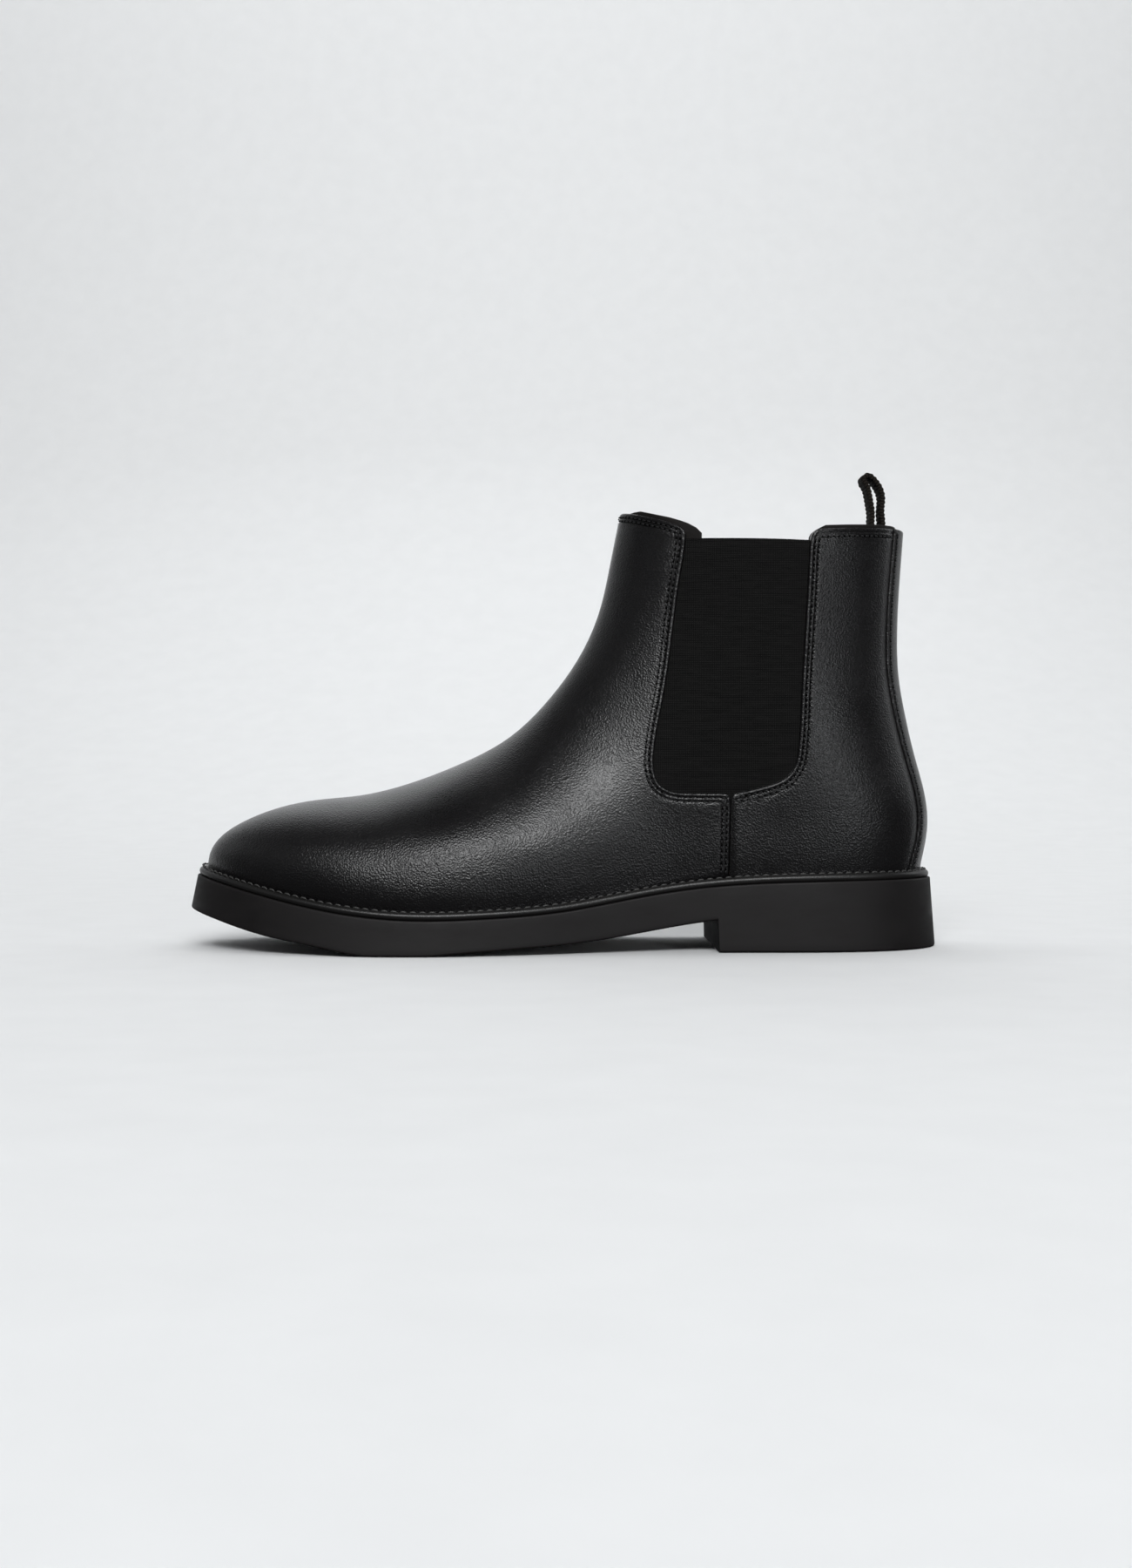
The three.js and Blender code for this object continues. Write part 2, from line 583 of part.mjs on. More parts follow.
function addQuarters() {
  for (const [name, side] of [["lateral", LATERAL], ["medial", MEDIAL]]) {
    add("quarter_" + name, layer(quarterLines(side), 0, LEATHER, { sink: true }), "leather");
    add("quarter_lining_" + name, layer(quarterLines(side), LINING_DEPTH, LINING, { sink: true }), "lining");
  }
  const counter = heelLines({ fromRow: 0, toRow: COUNTER_ROWS, fromColumn: 3 });
  add("heel_counter", layer(counter, STIFFENER_DEPTH, STIFFENER, { sink: true }), "board");
  const collar = heelLines({ fromRow: QUARTER_ROWS - 2, toRow: QUARTER_ROWS, fromColumn: 3 });
  add("collar_tape_back", layer(collar, STIFFENER_DEPTH, STIFFENER, { sink: true }), "backer");
  const grip = heelLines({ fromRow: 2, toRow: QUARTER_ROWS - 1, fromColumn: 5 });
  add("heel_grip", layer(grip, GRIP_DEPTH, HEEL_GRIP, { sink: true }), "lining");
}

function addBackstay() {
  const count = 16;
  const grid = (depth) =>
    Array.from({ length: count + 1 }, (_, i) => {
      const [x, z] = backProfile.at((i / count) * backProfile.length);
      const half = backstayHalfWidth(z);
      return [-1, -0.75, -0.5, -0.25, 0, 0.25, 0.5, 0.75, 1].map((share) => {
        const side = share < 0 ? LATERAL : MEDIAL;
        return surfacePoint(xAtHalfWidth(z, side, Math.abs(share) * half, x), z, side, depth);
      });
    });
  add("backstay", closedShell(grid(0), grid(BACKSTAY_THICKNESS)), "leather");
}

// x at which the back of the upper has a given half width, found by bisection.
function xAtHalfWidth(z, side, half, back) {
  let low = back - 50;
  let high = back;
  for (let i = 0; i < 40; i++) {
    const middle = (low + high) / 2;
    if (widthSquared(middle, z, side) > half * half) low = middle;
    else high = middle;
  }
  return (low + high) / 2;
}

// ---------------------------------------------------------------- gussets

const GUSSET_TUCK = 7; // how far the elastic runs on under the leather
const GUSSET_TOP_FRONT_Z = 161.4;
const GUSSET_TOP_BACK_Z = 159.9;
const gussetFront = pathThrough([
  [SEAM_X, GUSSET_FOOT_Z - GUSSET_TUCK],
  [50, GUSSET_FOOT_Z - GUSSET_TUCK],
  [38, GUSSET_FOOT_Z - GUSSET_TUCK + 1.6],
  [30.5, GUSSET_FOOT_Z + 1.5],
  [28.6, GUSSET_FOOT_Z + 11],
  [29.4, 84],
  [33.6, 107],
  [38, 140],
  [41.2, GUSSET_TOP_FRONT_Z],
]);
const gussetBack = pathThrough([
  [SEAM_X, GUSSET_FOOT_Z - GUSSET_TUCK],
  [76, GUSSET_FOOT_Z - GUSSET_TUCK + 1],
  [86, GUSSET_FOOT_Z - GUSSET_TUCK + 3.4],
  [94, GUSSET_FOOT_Z + 2],
  [98, GUSSET_FOOT_Z + 11],
  [99.2, 84],
  [100.3, 103],
  [102.6, 138],
  [103.9, GUSSET_TOP_BACK_Z],
]);

function addGusset(name, side) {
  const rows = 16;
  const columns = 8;
  const grid = (depth) =>
    Array.from({ length: rows + 1 }, (_, i) => {
      const [fx, fz] = gussetFront.at((i / rows) * gussetFront.length);
      const [bx, bz] = gussetBack.at((i / rows) * gussetBack.length);
      return Array.from({ length: columns + 1 }, (_, c) => {
        const [x, z] = [lerp(fx, bx, c / columns), lerp(fz, bz, c / columns)];
        return surfacePoint(x, z, side, depth + underStrip(x, z, side));
      });
    });
  add(name, closedShell(grid(STIFFENER_DEPTH), grid(STIFFENER_DEPTH + STIFFENER)), "elastic");
}

addVamp();
addQuarters();
addBackstay();
addGusset("gusset_lateral", LATERAL);
addGusset("gusset_medial", MEDIAL);

// ---------------------------------------------------------------- sole

const soleBottomZ = spline(
  [-152, -132.7, -110, -96.5, -86.6, -74, -50, -40, -20, -3, 18, 45, 62],
  [17.6, 12.5, 6.6, 4.2, 2.2, 0, 0, 0.8, 2.2, 3.4, 5.8, 10.2, 12.6],
);
const CONTACT_FROM_X = -74; // the forepart rests on the ground from here
const CONTACT_TO_X = -50;
const flare = (x) => lerp(0.2, 0.07, ease((x + 150) / 190)); // side slope of the outsole

const bottomZ = (x) => (x > CONTACT_FROM_X && x < CONTACT_TO_X ? 0 : Math.max(0, soleBottomZ(x)));

function addOutsole() {
  const plateZ = (x) => (x < HEEL_BREAST_X ? bottomZ(x) : lipZ(x) - HEEL_PLATE_DROP);
  const flared = (z) => (x) => LIP_OUTSET + flare(x) * (lipZ(x) - z(x));
  const plate = slab([
    { outset: LIP_OUTSET, z: lipZ },
    { outset: flared(plateZ), z: plateZ },
  ], { steps: 48 });
  const ground = () => 0;
  const breastAngle = Math.acos((OUTLINE_MIDDLE - HEEL_BREAST_X) / OUTLINE_HALF_LENGTH);
  const overlapZ = (x) => lipZ(x) - HEEL_PLATE_DROP + 2;
  const block = slab([
    { outset: flared(overlapZ), z: overlapZ },
    { outset: flared(ground), z: ground },
  ], { from: breastAngle - 0.02, steps: 26 });
  const front = new THREE.BoxGeometry(40, 120, 60).translate(HEEL_BREAST_X - 20, 0, 0);
  const heel = toSolid(block).subtract(toSolid(front));
  let sole = toSolid(plate).add(heel);
  const cavity = slab([
    { outset: -CORE_INSET, z: (x) => lipZ(x) + 1 },
    { outset: -CORE_INSET, z: () => CORE_FLOOR },
  ], { from: breastAngle + 0.1, to: Math.PI, steps: 20 });
  sole = sole.subtract(toSolid(cavity));
  for (const groove of grooves()) sole = sole.subtract(toSolid(groove));
  for (const hole of nailHoles(NAIL_RADIUS + CLEARANCE, -NAIL_LENGTH - 1)) sole = sole.subtract(toSolid(hole));
  add("outsole", toGeometry(sole), "rubber");
  const core = slab([
    { outset: -CORE_INSET - CLEARANCE, z: (x) => lipZ(x) },
    { outset: -CORE_INSET - CLEARANCE, z: () => CORE_FLOOR + CLEARANCE },
  ], { from: breastAngle + 0.1 + 0.004, to: Math.PI, steps: 20 });
  add("heel_core", core, "foam");
}

// Cross grooves of the tread, kept clear of the sole's edge.
function grooves() {
  const made = [];
  const halfWidthAt = (x, side) => {
    const angle = Math.acos((OUTLINE_MIDDLE - x) / OUTLINE_HALF_LENGTH);
    return Math.abs(outlinePoint(angle, side, 0).y) - GROOVE_MARGIN + LIP_OUTSET;
  };
  const groove = (x) => {
    const [left, right] = [halfWidthAt(x, LATERAL), halfWidthAt(x, MEDIAL)];
    const z = x > HEEL_BREAST_X ? 0 : bottomZ(x);
    const slope = x > HEEL_BREAST_X ? 0 : Math.atan2(bottomZ(x + 1) - bottomZ(x - 1), 2);
    made.push(
      new THREE.BoxGeometry(GROOVE_WIDTH, left + right, TREAD_DEPTH * 2)
        .rotateY(-slope)
        .translate(x, (right - left) / 2, z),
    );
  };
  for (let x = FIRST_GROOVE_X; x < LAST_GROOVE_X; x += GROOVE_PITCH) groove(x);
  const heelTip = OUTLINE_MIDDLE + OUTLINE_HALF_LENGTH;
  for (let x = HEEL_BREAST_X + BREAST_TO_GROOVE; x < heelTip - GROOVE_MARGIN; x += HEEL_GROOVE_PITCH) groove(x);
  return made;
}

// Axis of each heel nail, as [x, y].
function nailPlaces() {
  const breastAngle = Math.acos((OUTLINE_MIDDLE - HEEL_BREAST_X) / OUTLINE_HALF_LENGTH);
  return NAIL_ANGLES.map((share, i) => outlinePoint(lerp(breastAngle, Math.PI, share), NAIL_SIDES[i], -NAIL_INSET));
}

const insoleTopZ = (x) => lipZ(x) + CLEARANCE + FILLER_THICKNESS + CLEARANCE + INSOLE_THICKNESS;

// A hole round each nail: from its depth under the insole's top to above it.
function nailHoles(radius, fromZ) {
  return nailPlaces().map((p) =>
    new THREE.CylinderGeometry(radius, radius, 4 - fromZ, 12)
      .rotateX(Math.PI / 2)
      .translate(p.x, p.y, insoleTopZ(p.x) + (4 + fromZ) / 2),
  );
}

function addNails() {
  nailPlaces().forEach((p, i) => {
    const profile = [
      [0, 0],
      [NAIL_HEAD_RADIUS, 0],
      [NAIL_HEAD_RADIUS, -NAIL_HEAD_THICKNESS],
      [NAIL_RADIUS, -NAIL_HEAD_THICKNESS],
      [NAIL_RADIUS, -NAIL_LENGTH + 3],
      [0, -NAIL_LENGTH],
    ].reverse().map(([r, z]) => new THREE.Vector2(r, z));
    const nail = new THREE.LatheGeometry(profile, 10).rotateX(Math.PI / 2);
    add("heel_nail_" + (i + 1), nail, "steel").position.set(p.x, p.y, insoleTopZ(p.x) - CLEARANCE);
  });
}

function addWelt() {
  const corners = [
    [WELT_CLEARANCE, featherZ],
    [WELT_OUTSET - 1, featherZ],
    [WELT_OUTSET, (x) => featherZ(x) - 1],
    [WELT_OUTSET, (x) => lipZ(x) + CLEARANCE],
    [WELT_CLEARANCE, (x) => lipZ(x) + CLEARANCE],
  ];
  const ringAt = (angle, side) =>
    corners.map(([outset, z]) => {
      const p = outlinePoint(angle, side, outset);
      return new THREE.Vector3(p.x, p.y, z(p.x));
    });
  const steps = 44;
  const rings = [
    ...span(0, steps).map((i) => ringAt((i / steps) * Math.PI, LATERAL)),
    ...span(steps - 1, 0).map((i) => ringAt((i / steps) * Math.PI, MEDIAL)),
  ];
  add("welt", closedBand(rings), "welt");
}

// The bottom pieces lie inside the lining, which is further in round the heel.
// Edge of the pieces that lie inside the linings: under them at the front, under the grip behind.
const frontInset = LINING_DEPTH + LINING + LINING_CLEARANCE;
const gripInset = GRIP_DEPTH + HEEL_GRIP + BACKSTAY_THICKNESS - 0.15;
const innerInset = (x) => -lerp(frontInset, gripInset, ease((x - 70) / 35));

function addBottomFilling() {
  const fillerFloor = (x) => lipZ(x) + CLEARANCE;
  const fillerTop = (x) => fillerFloor(x) + FILLER_THICKNESS;
  const filler = slab([{ outset: innerInset, z: fillerTop }, { outset: innerInset, z: fillerFloor }]);
  const insole = slab([
    { outset: innerInset, z: insoleTopZ },
    { outset: innerInset, z: (x) => fillerTop(x) + CLEARANCE },
  ]);
  const shankGap = strip(SHANK_FROM_X - CLEARANCE, SHANK_TO_X + CLEARANCE, SHANK_WIDTH / 2 + CLEARANCE,
    (x) => fillerTop(x) + 1, (x) => fillerTop(x) - SHANK_THICKNESS - CLEARANCE);
  const shank = strip(SHANK_FROM_X, SHANK_TO_X, SHANK_WIDTH / 2, fillerTop, (x) => fillerTop(x) - SHANK_THICKNESS);
  add("bottom_filler", cut(filler, [shankGap, ...nailHoles(NAIL_RADIUS + CLEARANCE, -NAIL_LENGTH)]), "cork");
  add("shank", shank, "steel");
  const heads = nailHoles(NAIL_HEAD_RADIUS + CLEARANCE, -NAIL_HEAD_THICKNESS - 2 * CLEARANCE);
  const padFloor = (x) => insoleTopZ(x) + CLEARANCE;
  const onHeel = (x) => ease((x - HEEL_PAD_FROM_X + 26) / 14);
  const pad = slab([
    { outset: (x) => innerInset(x) - 4, z: (x) => padFloor(x) + HEEL_PAD_THICKNESS },
    { outset: (x) => innerInset(x) - 4, z: padFloor },
  ], { from: Math.acos((OUTLINE_MIDDLE - HEEL_PAD_FROM_X) / OUTLINE_HALF_LENGTH), steps: 14 });
  const sockFloor = (x) => padFloor(x) + (HEEL_PAD_THICKNESS + CLEARANCE) * onHeel(x);
  const sock = slab([
    { outset: innerInset, z: (x) => sockFloor(x) + SOCK_THICKNESS },
    { outset: innerInset, z: sockFloor },
  ], { steps: 44 });
  add("heel_pad", pad, "foam");
  add("sock_liner", sock, "lining");
  add("insole_board", cut(insole, [...heads, ...nailHoles(NAIL_RADIUS + CLEARANCE, -NAIL_LENGTH)]), "board");
}

// Straight-sided strip that follows the sole's curve.
function strip(fromX, toX, half, top, bottom) {
  const steps = 16;
  const grid = (z) =>
    Array.from({ length: steps + 1 }, (_, i) => {
      const x = lerp(fromX, toX, i / steps);
      return [-half, half].map((y) => new THREE.Vector3(x, y, z(x)));
    });
  return closedShell(grid(top), grid(bottom));
}

// ---------------------------------------------------------------- pull loop

// Flat tape of constant width along a closed or open line of [x, z] points.
function tape(points, closed) {
  const curve = new THREE.CatmullRomCurve3(points.map(([x, z]) => new THREE.Vector3(x, 0, z)), closed, "centripetal");
  const steps = points.length * 2;
  const grid = (offset) =>
    span(0, steps).map((i) => {
      const t = (i / steps) % (closed ? 1 : 2);
      const p = curve.getPoint(t);
      const along = curve.getTangent(t);
      const out = new THREE.Vector3(along.z, 0, -along.x).multiplyScalar(offset);
      return [-TAPE_WIDTH / 2, TAPE_WIDTH / 2].map((y) => p.clone().add(out).setY(y));
    });
  const [outer, inner] = [grid(TAPE_THICKNESS / 2), grid(-TAPE_THICKNESS / 2)];
  return closed ? closedBand(outer.map((p, i) => [...p, ...inner[i].reverse()])) : closedShell(outer, inner);
}

function addPullLoop() {
  const [hx, hz] = LOOP_HINGE;
  const r = LOOP_FOOT_RADIUS - TAPE_THICKNESS / 2;
  const bottom = [180, 225, 270, 315, 360].map((degrees) => {
    const a = (degrees * Math.PI) / 180;
    return [hx + r * Math.cos(a), hz + r * Math.sin(a)];
  });
  add("pull_loop", tape([...bottom, ...LOOP_LINE], true), "tape");
  const gap = TAPE_THICKNESS / 2 + CLEARANCE / 2;
  const inFrontOfGrip = GRIP_DEPTH + HEEL_GRIP + BACKSTAY_THICKNESS + CLEARANCE + LOOP_TAIL_GAP;
  const tailDepth = inFrontOfGrip + gap + TAPE_THICKNESS / 2 + TAIL_BOW;
  for (const [i, x] of [-1, 1].entries()) {
    const line = [0, 0.33, 0.67, 1].map((t) => {
      const z = lerp(hz - LOOP_FOOT_RADIUS - CLEARANCE, LOOP_TAIL_Z, t);
      return [backX(z) - tailDepth + x * gap, z];
    });
    add("pull_loop_tail_" + (i + 1), tape(line, false), "tape");
  }
}

addPullLoop();
addOutsole();
addNails();
addWelt();
addBottomFilling();

const box = new THREE.Box3().setFromObject(boot);
boot.position.set(-(box.min.x + box.max.x) / 2, -(box.min.y + box.max.y) / 2, -box.min.z);

export default boot;
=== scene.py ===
import math

import bpy
import numpy as np
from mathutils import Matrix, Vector


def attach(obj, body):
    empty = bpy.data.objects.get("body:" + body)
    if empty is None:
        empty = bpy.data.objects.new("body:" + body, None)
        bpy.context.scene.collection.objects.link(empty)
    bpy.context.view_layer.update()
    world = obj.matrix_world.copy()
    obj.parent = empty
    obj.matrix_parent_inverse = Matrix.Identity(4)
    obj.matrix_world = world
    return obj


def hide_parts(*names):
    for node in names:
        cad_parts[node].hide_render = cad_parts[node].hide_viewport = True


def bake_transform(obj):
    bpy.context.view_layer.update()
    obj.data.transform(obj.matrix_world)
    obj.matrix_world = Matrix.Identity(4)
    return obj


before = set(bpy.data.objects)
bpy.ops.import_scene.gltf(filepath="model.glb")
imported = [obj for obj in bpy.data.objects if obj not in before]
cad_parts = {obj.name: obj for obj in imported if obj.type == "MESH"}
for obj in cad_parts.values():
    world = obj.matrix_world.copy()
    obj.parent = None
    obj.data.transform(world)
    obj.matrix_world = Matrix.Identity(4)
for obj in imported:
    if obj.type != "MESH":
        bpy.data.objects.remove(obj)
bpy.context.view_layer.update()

# The boot's own formulas are in millimetres with the toe at -X and the outer side at -Y;
# SHIFT and MM move them into the shared frame, in metres.
SHIFT = np.array([-0.228, 2.758, 0.0])
MM = 0.001
LATERAL, MEDIAL = -1.0, 1.0


# ---- small maths

PER_SPAN = 24  # points that dense() puts on each span of a curve


def lerp(a, b, t):
    return a + (b - a) * t


def ease(t):
    t = np.clip(t, 0.0, 1.0)
    return t * t * (3.0 - 2.0 * t)


class Spline:
    """Natural cubic spline, straight beyond its ends."""

    def __init__(self, xs, ys):
        x, y = np.array(xs, float), np.array(ys, float)
        n = len(x) - 1
        h, slope = np.diff(x), np.diff(y) / np.diff(x)
        a = np.eye(n + 1)
        r = np.zeros(n + 1)
        for i in range(1, n):
            a[i, i - 1:i + 2] = h[i - 1], 2.0 * (h[i - 1] + h[i]), h[i]
            r[i] = 6.0 * (slope[i] - slope[i - 1])
        m = np.linalg.solve(a, r)
        self.x, self.y, self.h, self.m = x, y, h, m
        self.ends = slope[0] - h[0] * m[1] / 6.0, slope[-1] + h[-1] * m[-2] / 6.0

    def __call__(self, v):
        v = np.asarray(v, float)
        i = np.clip(np.searchsorted(self.x, v, side="right") - 1, 0, len(self.h) - 1)
        h, m, y = self.h[i], self.m, self.y
        a = (self.x[i + 1] - v) / h
        b = 1.0 - a
        inside = (a * y[i] + b * y[i + 1]
                  + ((a ** 3 - a) * m[i] + (b ** 3 - b) * m[i + 1]) * h * h / 6.0)
        low = y[0] + self.ends[0] * (v - self.x[0])
        high = y[-1] + self.ends[1] * (v - self.x[-1])
        return np.where(v < self.x[0], low, np.where(v > self.x[-1], high, inside))


def dense(points, per=PER_SPAN):
    """Centripetal Catmull-Rom curve through points of any dimension, as a dense polyline."""
    p = np.array(points, float)
    p = np.vstack([2 * p[0] - p[1], p, 2 * p[-1] - p[-2]])
    out = []
    for i in range(1, len(p) - 2):
        q = p[i - 1:i + 3]
        gaps = np.linalg.norm(np.diff(q, axis=0), axis=1) ** 0.5
        t = np.concatenate([[0.0], np.cumsum(np.maximum(gaps, 1e-6))])
        u = np.linspace(t[1], t[2], per, endpoint=False)[:, None]

        def between(i, j, a, b):
            return (t[j] - u) / (t[j] - t[i]) * a + (u - t[i]) / (t[j] - t[i]) * b

        a = [between(k, k + 1, q[k], q[k + 1]) for k in range(3)]
        b = [between(k, k + 2, a[k], a[k + 1]) for k in range(2)]
        out.append(between(1, 2, b[0], b[1]))
    return np.vstack(out + [p[-2:-1]])


def run_of(line):
    """Length along a polyline at each of its points."""
    return np.concatenate([[0.0], np.cumsum(np.linalg.norm(np.diff(line, axis=0), axis=1))])


def at_run(line, runs):
    """Points of a polyline at given lengths along it."""
    r = run_of(line)
    return np.stack([np.interp(runs, r, line[:, k]) for k in range(line.shape[1])], axis=-1)


# ---- the upper's form

# Each station is a pair of (x, z) ends in the side view: one on the front outline, one inside.
STATIONS = [
    ((-144.3, 26.0), (-144.3, 15)), ((-143.3, 33.0), (-143.3, 18)), ((-142.6, 37.0), (-142.6, 20)),
    ((-139.2, 42.6), (-139.2, 20)), ((-130.0, 49.2), (-130.0, 19)), ((-115.0, 55.2), (-115.0, 16)),
    ((-100.0, 58.3), (-99.5, 13)), ((-82.0, 60.2), (-80.0, 11)), ((-64.4, 64.3), (-59.0, 10)),
    ((-42.0, 72.7), (-24.0, 11)), ((-22.0, 83.4), (14.0, 14)), ((-5.0, 99.8), (68.0, 19)),
    ((6.4, 115.7), (128.0, 26)), ((14.5, 133.5), (148.0, 66)), ((19.3, 154.0), (141.0, 117)),
    ((23.3, 174.2), (139.0, 166.5)), ((25.2, 184.0), (139.5, 178)),
]
FRONT_RUN_AT = run_of(np.array([s[0] for s in STATIONS], float))
front_x = Spline(FRONT_RUN_AT, [s[0][0] for s in STATIONS])
front_z = Spline(FRONT_RUN_AT, [s[0][1] for s in STATIONS])
base_x = Spline(FRONT_RUN_AT, [s[1][0] for s in STATIONS])
base_z = Spline(FRONT_RUN_AT, [s[1][1] for s in STATIONS])
COLLAR_STATION = 15
COLLAR_RUN = FRONT_RUN_AT[COLLAR_STATION]

back_x = Spline(
    [20, 31, 41, 51, 62, 76, 92, 108, 124, 145, 166.5, 184],
    [144.6, 144.8, 146.8, 147.7, 146.3, 142.6, 138.9, 136.2, 135.6, 136.5, 138.1, 139.2])
lip_z = Spline(
    [-148, -120, -90, -60, -30, 0, 30, 60, 95, 150],
    [29.9, 23.1, 16.7, 13.4, 13.8, 16.2, 21.3, 25.2, 26.9, 27.6])
MIDDLE, HALF_LENGTH = 0.6, 144.0
SPREAD_X = [-143.4, -110, -65, -30, 10, 45, 90, 130, 144.6]
spread_lateral = Spline(SPREAD_X, [60, 61, 57.5, 50.7, 40.7, 35.8, 42, 54, 58.8])
spread_medial = Spline(SPREAD_X, [58, 57, 51.5, 43.8, 33.6, 31.6, 40.3, 54, 58.8])
leg_half_width = Spline([25, 60, 90, 120, 166, 184], [34, 34.5, 33.8, 32.6, 31.6, 31.2])
toe_fullness = Spline([0, 90, 180, 330], [2.7, 2.4, 2.15, 2.0])


FEATHER_ABOVE_LIP, FOOT_ABOVE_LIP = 3.0, 0.3
REACH_SOFTNESS, LONGEST_REACH = 0.15, 64
BULGE, BULGE_HEIGHT = 0.035, 6
HEEL_SHIFT_FROM_X, HEEL_SHIFT_RUN = 50, 70
BACK_ROUNDING = 58
LEG_FROM_Z, LEG_RUN = 38, 62
NORMAL_STEP = 0.05
TOE_POLE_X = -138


def feather_z(x):
    """Height at which the upper meets the top of the welt."""
    return lip_z(x) + FEATHER_ABOVE_LIP


def foot_z(x):
    """Height of the upper's lower edge, hidden behind the welt."""
    return lip_z(x) + FOOT_ABOVE_LIP


def spread(x, side):
    """Half width of the sole's plan outline before it is closed at the ends."""
    return np.where(np.asarray(side) < 0, spread_lateral(x), spread_medial(x))


def station_through(x, z):
    """Run of the station whose line passes through (x, z)."""
    low, high = np.zeros_like(x), np.full_like(x, FRONT_RUN_AT[-1])
    for _ in range(30):
        mid = (low + high) / 2
        fx, fz = front_x(mid), front_z(mid)
        turn = (base_x(mid) - fx) * (z - fz) - (base_z(mid) - fz) * (x - fx)
        low, high = np.where(turn > 0, mid, low), np.where(turn > 0, high, mid)
    return (low + high) / 2


def width_squared(x, z, side):
    """Squared half width of the upper; negative outside its side outline."""
    s = station_through(x, z)
    fx, fz = front_x(s), front_z(s)
    tx, tz = base_x(s) - fx, base_z(s) - fz
    inward = ((x - fx) * tx + (z - fz) * tz) / np.hypot(tx, tz)
    height = fz - feather_z(fx)
    reach = -np.log(np.exp(-REACH_SOFTNESS * height)
                    + math.exp(-REACH_SOFTNESS * LONGEST_REACH)) / REACH_SOFTNESS
    k = 1 - np.minimum(1.0, inward / np.maximum(reach, 1.0))
    front = 1 - np.sign(k) * np.abs(k) ** toe_fullness(s)
    bulge = 1 + BULGE * (1 - np.exp(-np.maximum(0, z - feather_z(x)) / BULGE_HEIGHT))
    shift = (MIDDLE + HALF_LENGTH - back_x(z)) * ease((x - HEEL_SHIFT_FROM_X) / HEEL_SHIFT_RUN)
    along = (x + shift - MIDDLE) / HALF_LENGTH
    foot = (spread(x + shift, side) * bulge) ** 2 * (1 - along ** 2)
    from_back = np.minimum(1, (back_x(z) - x) / BACK_ROUNDING)
    leg = leg_half_width(z) ** 2 * (1 - (1 - from_back) ** 2)
    return lerp(foot, leg, ease((z - LEG_FROM_Z) / LEG_RUN)) * front


def surface(x, z, side, depth=0.0):
    """Points and outward normals of the upper over (x, z), moved inwards by depth.

    Near the toe's pole the gradient turns over, so normals that face the heel are flipped there.
    """
    x, z, side, depth = np.broadcast_arrays(*(np.asarray(v, float) for v in (x, z, side, depth)))
    y = side * np.sqrt(np.maximum(0, width_squared(x, z, side)))
    h = NORMAL_STEP
    n = np.stack([
        width_squared(x - h, z, side) - width_squared(x + h, z, side),
        4 * h * y,
        width_squared(x, z - h, side) - width_squared(x, z + h, side)], axis=-1)
    n /= np.maximum(np.linalg.norm(n, axis=-1, keepdims=True), 1e-9)
    n = np.where(((x < TOE_POLE_X) & (n[..., 0] > 0))[..., None], -n, n)
    return np.stack([x, y, z], axis=-1) - n * depth[..., None], n


# ---- seams in the side view

SEAM_X, GUSSET_Z = 65.0, 61.8
VAMP_EDGE = dense([
    (SEAM_X - 0.7, float(foot_z(SEAM_X))), (SEAM_X - 0.2, 46), (SEAM_X, GUSSET_Z - 3.4),
    (SEAM_X - 0.4, GUSSET_Z - 1.2), (SEAM_X - 2.6, GUSSET_Z - 0.7), (53, GUSSET_Z - 0.6),
    (42.2, GUSSET_Z + 0.2), (37.2, GUSSET_Z + 3.4), (35.3, GUSSET_Z + 10), (36.0, 82),
    (40.4, 106), (44.8, 140), (47.9, 160.5), (47.4, 164.8), (42.6, 167.6), (33, 170.9),
    (23.3, 174.2)])
VAMP_AT = run_of(VAMP_EDGE)[::PER_SPAN]
QUARTER_EDGE = dense([
    (SEAM_X - 0.3, float(foot_z(SEAM_X))), (SEAM_X + 0.2, 46), (SEAM_X + 0.4, GUSSET_Z - 3.4),
    (SEAM_X + 0.8, GUSSET_Z - 1.1), (SEAM_X + 3, GUSSET_Z - 0.5), (75, GUSSET_Z + 1.1),
    (82.4, GUSSET_Z + 3.2), (87.4, GUSSET_Z + 6), (90.6, GUSSET_Z + 11), (92.0, 82),
    (93.3, 103), (95.6, 138), (96.9, 159.5), (97.6, 162.2), (99.4, 163.9), (104.0, 164.6)])
QUARTER_AT = run_of(QUARTER_EDGE)[::PER_SPAN]
COLLAR_BACK_Z = 166.6
BACK_ZS = np.linspace(float(foot_z(144.7)), COLLAR_BACK_Z, 400)
BACK_LINE = np.stack([back_x(BACK_ZS), BACK_ZS], axis=-1)
COLLAR_BACK_LINE = np.stack([np.linspace(104.0, 138.1, 60),
                             np.linspace(164.6, COLLAR_BACK_Z, 60)], axis=-1)
BACKSTAY_TOP, BACKSTAY_FOOT = 13.0, 17.0
BACKSTAY_FROM_Z, BACKSTAY_RUN = 30, 136


def backstay_half(z):
    """Half width of the strip down the back."""
    return lerp(BACKSTAY_FOOT, BACKSTAY_TOP, np.clip((z - BACKSTAY_FROM_Z) / BACKSTAY_RUN, 0, 1))


def distance_to(line, x, z):
    """Distance in the side view from each point to a dense polyline."""
    a, b = line[:-1], line[1:]
    d = b - a
    best = np.full(np.shape(x), 1e9)
    for (ax, az), (dx, dz) in zip(a, d):
        t = np.clip(((x - ax) * dx + (z - az) * dz) / max(dx * dx + dz * dz, 1e-9), 0, 1)
        best = np.minimum(best, (x - ax - t * dx) ** 2 + (z - az - t * dz) ** 2)
    return np.sqrt(best)


def thin(line, step=0.8):
    """The polyline again with points about one step apart."""
    r = run_of(line)
    return at_run(line, np.linspace(0, r[-1], max(2, int(r[-1] / step))))


# ---- mesh helpers

